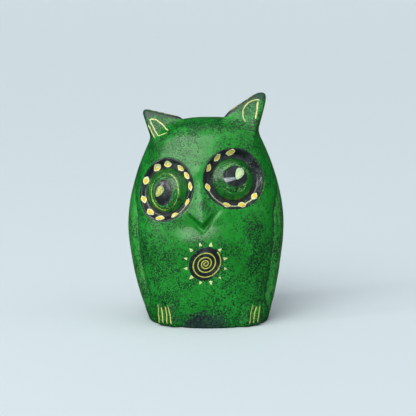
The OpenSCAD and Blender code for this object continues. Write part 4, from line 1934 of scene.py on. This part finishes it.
@dataclass
class LeftEye(Eye):
    """The left eye has a broken ring scratched on its iris."""

    ring_off: Pair = (-0.2, -0.6)
    line_r: Pair = (5.6, 6.9)

    def build(self, effects: Effects, dark: Material, scratch: Finishes) -> None:
        """Makes the eye and the ring on its iris.

        Args:
            effects: The shared node groups.
            dark: The dark paint.
            scratch: Scratch finishes by slot.
        """
        super().build(effects, dark, scratch)
        rng = np.random.default_rng(self.seed + 1)
        path = oval(*self.line_r, count=110) + np.array(self.ring_off)
        path = path + np.roll(rng.normal(size=path.shape), 3, axis=0) * 0.02
        lap = np.linspace(0, math.tau, len(path), endpoint=False)
        widths = 0.62 * np.clip(0.55 + 0.6 * np.sin(lap * 2 + 0.4) + 0.35 * np.sin(lap * 7), 0.1, 1.1)
        line = strip(self.face, path, widths, self._dome, 0.04, 0.4, loop=True)
        line.piece("left_iris_ring", Line.BROKEN.material(effects), Slot.YELLOW)


# ---- Scratched motifs ----


@dataclass
class ChestMotif:
    """The dark disc on the chest with its spiral and rays."""

    stone: Stone
    at: Pair = (-1.3, 25.9)
    radius: Pair = (6.0, 6.8)
    lean: float = 40.0
    turns: float = 4.0
    line_w: float = 0.52
    rays: int = 12
    ray_ring: float = 7.9
    seed: int = 7

    def _face(self) -> Facing:
        """The disc's working plane."""
        x, z = self.at
        return Facing((x, self.stone.front_y(x, z), z))

    def _spiral(self) -> Array:
        """Middle line of the spiral in u and v.

        Returns:
            Points along it, from the middle out.
        """
        a = np.radians(np.arange(90, 360 * self.turns + 90, 4.0))
        t = (a - a[0]) / (math.tau * self.turns)
        r = (0.35 + 0.53 * t) * t + 0.06
        path = np.column_stack([self.radius[0] * r * np.cos(a), self.radius[1] * r * np.sin(a)])
        return turned(path, -self.lean)

    def _ray(self, degrees: float, rng: np.random.Generator) -> Shape:
        """One ray outside the disc.

        Args:
            degrees: Where it is, anticlockwise from the right.
            rng: Source of the hand's small errors.

        Returns:
            The closed inlay.
        """
        x = self.at[0] + self.ray_ring * math.cos(math.radians(degrees))
        z = self.at[1] + self.ray_ring * math.sin(math.radians(degrees))
        spot = Facing((x, self.stone.front_y(x, z), z))
        wedge = np.array([(-0.95, -0.8), (-0.2, -0.56), (0.95, 0), (-0.2, 0.56), (-0.95, 0.8), (-1.05, 0)])
        wedge = turned(wedge * rng.uniform(0.62, 1.02), degrees + rng.uniform(-9, 9))
        return patch(spot, wedge, partial(self.stone.drape, spot), 0.07, 0.5, rings=4)

    def build(self, dark: Material, scratch: Finishes) -> None:
        """Makes the disc, the spiral and the rays.

        Args:
            dark: The dark paint.
            scratch: Scratch finishes by slot.
        """
        rng = np.random.default_rng(self.seed)
        face = self._face()
        skin = partial(self.stone.drape, face)
        outline = turned(oval(*self.radius, count=120), -self.lean)
        outline = outline + rng.normal(size=outline.shape) * 0.035
        patch(face, outline, skin, 0.05, 0.8, rings=26).piece("chest_disc", dark, Slot.DARK)
        path = self._spiral()
        widths = self.line_w * (1 + 0.12 * np.sin(np.arange(len(path)) * 0.23))
        widths[:6] *= np.linspace(0.5, 1, 6)
        line = strip(face, path, widths, raised(skin, 0.05), 0.05, 0.5)
        line.piece("chest_spiral", scratch[Slot.YELLOW], Slot.YELLOW)
        rays = [self._ray(360 * (i + 0.5) / self.rays, rng) for i in range(self.rays)]
        joined(rays).piece("chest_rays", scratch[Slot.CREAM], Slot.CREAM)


@dataclass
class EarStrokes:
    """Lines scratched on the front of one ear."""

    stone: Stone
    name: str
    side: int
    lines: list[tuple[list[Pair], float]]
    seed: int = 3

    def build(self, scratch: Finishes) -> None:
        """Makes the strokes.

        Args:
            scratch: Scratch finishes by slot.
        """
        rng = np.random.default_rng(self.seed)
        face = self.stone.ear(self.side).face
        skin = partial(self.stone.drape, face, start=4.0)
        shapes = []
        for corners, width in self.lines:
            path = rough_line(np.array(corners), rng)
            widths = width * (1 + 0.12 * np.sin(np.arange(len(path)) * 0.4))
            shapes.append(strip(face, path, pointed(widths), skin, 0.06, 0.5))
        joined(shapes).piece(self.name, scratch[Slot.CREAM], Slot.CREAM)


@dataclass
class Claws:
    """Short lines scratched down the front of one toe pad."""

    stone: Stone
    name: str
    side: int
    count: int
    lean: float
    pitch: float = 1.9
    height: float = 10.0
    line_w: float = 0.5
    seed: int = 9

    def build(self, scratch: Finishes) -> None:
        """Makes the lines.

        Args:
            scratch: Scratch finishes by slot.
        """
        rng = np.random.default_rng(self.seed)
        face = self.stone.foot_face(self.side)
        skin = partial(self.stone.drape, face, start=5.0)
        shapes = []
        for i in range(self.count):
            u = (i - (self.count - 1) / 2) * self.pitch
            top = self.height * rng.uniform(0.74, 0.86)
            low, bend = (u, self.height * 0.14), (u + self.lean * 0.4, top * 0.6)
            path = rough_line(np.array([low, bend, (u * 0.8 + self.lean, top)]), rng)
            widths = pointed(np.full(len(path), self.line_w))
            shapes.append(strip(face, path, widths, skin, 0.06, 0.5))
        joined(shapes).piece(self.name, scratch[Slot.YELLOW], Slot.YELLOW)


# ---- Studio ----


def put_light(name: str, kind: str, power: float, color: Place) -> bpy.types.Object:
    """A new light in the scene.

    Args:
        name: Its name.
        kind: Its type.
        power: Its power in watts, or a sun's strength.
        color: Its colour.

    Returns:
        The light.
    """
    data = bpy.data.lights.new(name, kind)
    data.energy = power
    data.color = color
    light = bpy.data.objects.new(name, data)
    bpy.context.scene.collection.objects.link(light)
    return light


@dataclass(frozen=True)
class Sun:
    """A wide soft source far away, so that it falls evenly on the paper.

    Its turn is from straight in front and positive to the right, its height is over the
    horizon and its spread is how wide it looks, all in degrees.
    """

    name: str
    turn: float
    height: float
    spread: float
    strength: float
    color: Place = (1.0, 1.0, 1.0)

    def build(self) -> None:
        """Adds the light."""
        light = put_light(self.name, "SUN", self.strength, self.color)
        light.data.angle = math.radians(self.spread)
        light.rotation_euler = (math.radians(90 - self.height), 0, math.radians(self.turn))


@dataclass(frozen=True)
class Lamp:
    """A small soft light that looks at the owl."""

    name: str
    at: Place
    size: Pair
    power: float

    def build(self) -> None:
        """Adds the light."""
        light = put_light(self.name, "AREA", self.power, (1.0, 1.0, 1.0))
        light.data.shape = "RECTANGLE"
        light.data.size, light.data.size_y = self.size
        light.location = self.at
        target = (CAD_BOX[0] + CAD_BOX[1]) / 2
        light.rotation_euler = (target - light.location).to_track_quat("-Z", "Y").to_euler()


@dataclass
class Studio:
    """Pale floor that sweeps up behind, soft lights and the camera.

    The paper and the room each have a second, dark colour: it is what the varnish mirrors.
    """

    half_w: float = 1.6
    front: float = -1.2
    back: float = 3.2
    bend: float = 0.5
    bend_steps: int = 24
    height: float = 1.8
    paper: tuple[Color, Color] = ((0.66, 0.745, 0.785, 1), (0.68, 0.765, 0.805, 1))
    paper_mirrored: Color = (0.02, 0.023, 0.024, 1)
    room: Color = (0.275, 0.30, 0.315, 1)
    room_mirrored: Color = (0.025, 0.035, 0.042, 1)
    suns: tuple[Sun, ...] = (
        Sun("front left", -24, 38, 42, 2.14, (1.0, 1.0, 0.985)),
        Sun("right fill", 62, 30, 60, 0.28),
        Sun("overhead", 10, 78, 70, 0.70, (1.0, 0.99, 0.97)),
    )
    lamps: tuple[Lamp, ...] = (
        Lamp("small", (-0.06, -0.75, 0.42), (0.05, 0.05), 0.35),
        Lamp("left strip", (-0.7, -0.42, 0.32), (0.10, 0.5), 1.6),
    )
    aim: Place = (-0.0004, 0.0, 0.04345)
    camera_distance: float = 0.85
    view_w: float = 0.1602
    sensor_mm: float = 36.0
    elevation: float = 9.0

    def build(self) -> None:
        """Makes the whole set."""
        self._sweep()
        for light in self.suns + self.lamps:
            light.build()
        self._room()
        self._camera()

    def _sweep(self) -> None:
        """A floor and wall in one curved sheet."""
        profile = [(self.front, 0.0)]
        for i in range(self.bend_steps + 1):
            a = math.pi / 2 * i / self.bend_steps
            profile.append((self.back + self.bend * math.sin(a), self.bend * (1 - math.cos(a))))
        profile.append((self.back + self.bend, self.height))
        points = [(s * self.half_w, y, z) for y, z in profile for s in (-1, 1)]
        faces = [(2 * i, 2 * i + 1, 2 * i + 3, 2 * i + 2) for i in range(len(profile) - 1)]
        mesh = bpy.data.meshes.new("sweep")
        mesh.from_pydata(points, [], faces)
        mesh.polygons.foreach_set("use_smooth", [True] * len(faces))
        material, g = new_material("pale paper")
        shader = g.add("ShaderNodeBsdfPrincipled")
        grain = g.noise(g.place(), 900.0, 3.0, 0.6)
        paper = g.mix(grain, *self.paper)
        mirrored = g.add("ShaderNodeLightPath").outputs["Is Glossy Ray"]
        g.put(shader.inputs["Base Color"], g.mix(mirrored, paper, self.paper_mirrored))
        shader.inputs["Roughness"].default_value = 0.7
        out = g.add("ShaderNodeOutputMaterial")
        g.put(out.inputs["Surface"], shader.outputs["BSDF"])
        mesh.materials.append(material)
        sweep = bpy.data.objects.new("sweep", mesh)
        bpy.context.scene.collection.objects.link(sweep)

    def _room(self) -> None:
        """The pale room round the set."""
        world = bpy.data.worlds.new("pale room")
        world.use_nodes = True
        g = Graph(world.node_tree)
        shade = g.add("ShaderNodeBackground")
        mirrored = g.add("ShaderNodeLightPath").outputs["Is Glossy Ray"]
        g.put(shade.inputs["Color"], g.mix(mirrored, self.room, self.room_mirrored))
        shade.inputs["Strength"].default_value = 1.0
        out = g.add("ShaderNodeOutputWorld")
        g.put(out.inputs["Surface"], shade.outputs["Background"])
        bpy.context.scene.world = world

    def _camera(self) -> None:
        """A long lens a little above the owl, looking straight at its face."""
        data = bpy.data.cameras.new("camera")
        data.sensor_width = self.sensor_mm
        data.lens = self.sensor_mm * self.camera_distance / self.view_w
        data.clip_start, data.clip_end = 0.01, 20
        camera = bpy.data.objects.new("camera", data)
        bpy.context.scene.collection.objects.link(camera)
        rise = math.radians(self.elevation)
        x, y, z = self.aim
        away = self.camera_distance
        camera.location = (x, y - away * math.cos(rise), z + away * math.sin(rise))
        camera.rotation_euler = (math.pi / 2 - rise, 0, 0)
        bpy.context.scene.camera = camera
        bpy.context.scene.view_settings.view_transform = "Standard"


def both_eyes(stone: Stone) -> list[Eye]:
    """The two unlike eyes.

    Args:
        stone: The stone that they are carved in.

    Returns:
        The left one and the right one.
    """
    left = LeftEye(
        name="left",
        stone=stone,
        at=(-16.9, 53.3),
        turn=-22,
        tip=14,
        ring_r=(10.9, 12.2),
        ring_lean=12,
        iris_r=8.6,
        pupil_r=(3.7, 4.9),
        pupil_off=(-0.6, -1.1),
        glint_off=(-2.2, -0.8),
        glint_size=(2.4, 1.95),
        lozenges=(10, 36, 61, 96, 123, 161, 200, 233, 262, 297, 336),
        links=((297, 330),),
        glint_line=Line.OLIVE_GLINT,
        mark_drop=0.06,
    )
    right = Eye(
        name="right",
        stone=stone,
        at=(9.7, 57.6),
        turn=15,
        tip=15,
        ring_r=(11.8, 11.6),
        ring_lean=0,
        iris_r=8.2,
        pupil_r=(4.8, 4.1),
        pupil_off=(0.6, 0.9),
        glint_off=(2.1, 1.8),
        glint_size=(2.5, 2.1),
        lozenges=(92, 123, 153, 195, 251, 285, 318),
        links=((200, 318),),
        reflection_streak=1.0,
    )
    return [left, right]


def both_ears(stone: Stone) -> list[EarStrokes]:
    """The strokes of the two ears, each a run through a few points with its width.

    Args:
        stone: The stone that they are scratched on.

    Returns:
        Those of the left ear and those of the right ear.
    """
    left = [
        ([(-5.7, 10.6), (-3.4, 10.6), (-0.8, 8.7), (0.7, 6.6), (1.5, 5.4)], 0.6),
        ([(-5.7, 10.6), (-4.3, 7.7), (-2.5, 3.9), (-2.1, 3.7), (1.0, 4.4)], 0.5),
        ([(-6.2, 8.4), (-3.6, 3.0)], 0.36),
    ]
    arc = oval(5.9, 5.8, 85, 215, 14) + np.array([5.2, 13])
    right = [([tuple(point) for point in arc], 0.46), ([(5.2, 18.0), (4.2, 11)], 0.66)]
    return [EarStrokes(stone, "left_ear_strokes", -1, left), EarStrokes(stone, "right_ear_strokes", 1, right)]


def main() -> None:
    """Builds the owl and its set in order."""
    logging.basicConfig(level=logging.INFO, format="%(message)s")
    stone = Stone()
    skin = Skin(stone)
    log.info("skin: %d points", len(skin.points))
    effects = Effects()
    dark = DarkPaint().material("dark paint", effects)
    plain = {Slot.YELLOW: Line.YELLOW.material(effects), Slot.CREAM: Line.CREAM.material(effects)}
    thin = {Slot.YELLOW: Line.THIN.material(effects)}
    olive = {**plain, Slot.YELLOW: Line.OLIVE.material(effects)}
    eyes = both_eyes(stone)
    Carving(stone, skin, eyes).build(effects)
    for eye in eyes:
        eye.build(effects, dark, plain)
    ChestMotif(stone).build(dark, olive)
    for strokes in both_ears(stone):
        strokes.build(plain)
    Claws(stone, "left_claws", side=-1, count=4, lean=-0.9).build(thin)
    Claws(stone, "right_claws", side=1, count=3, lean=1.5).build(thin)
    Studio().build()


if __name__ == "__main__":
    main()
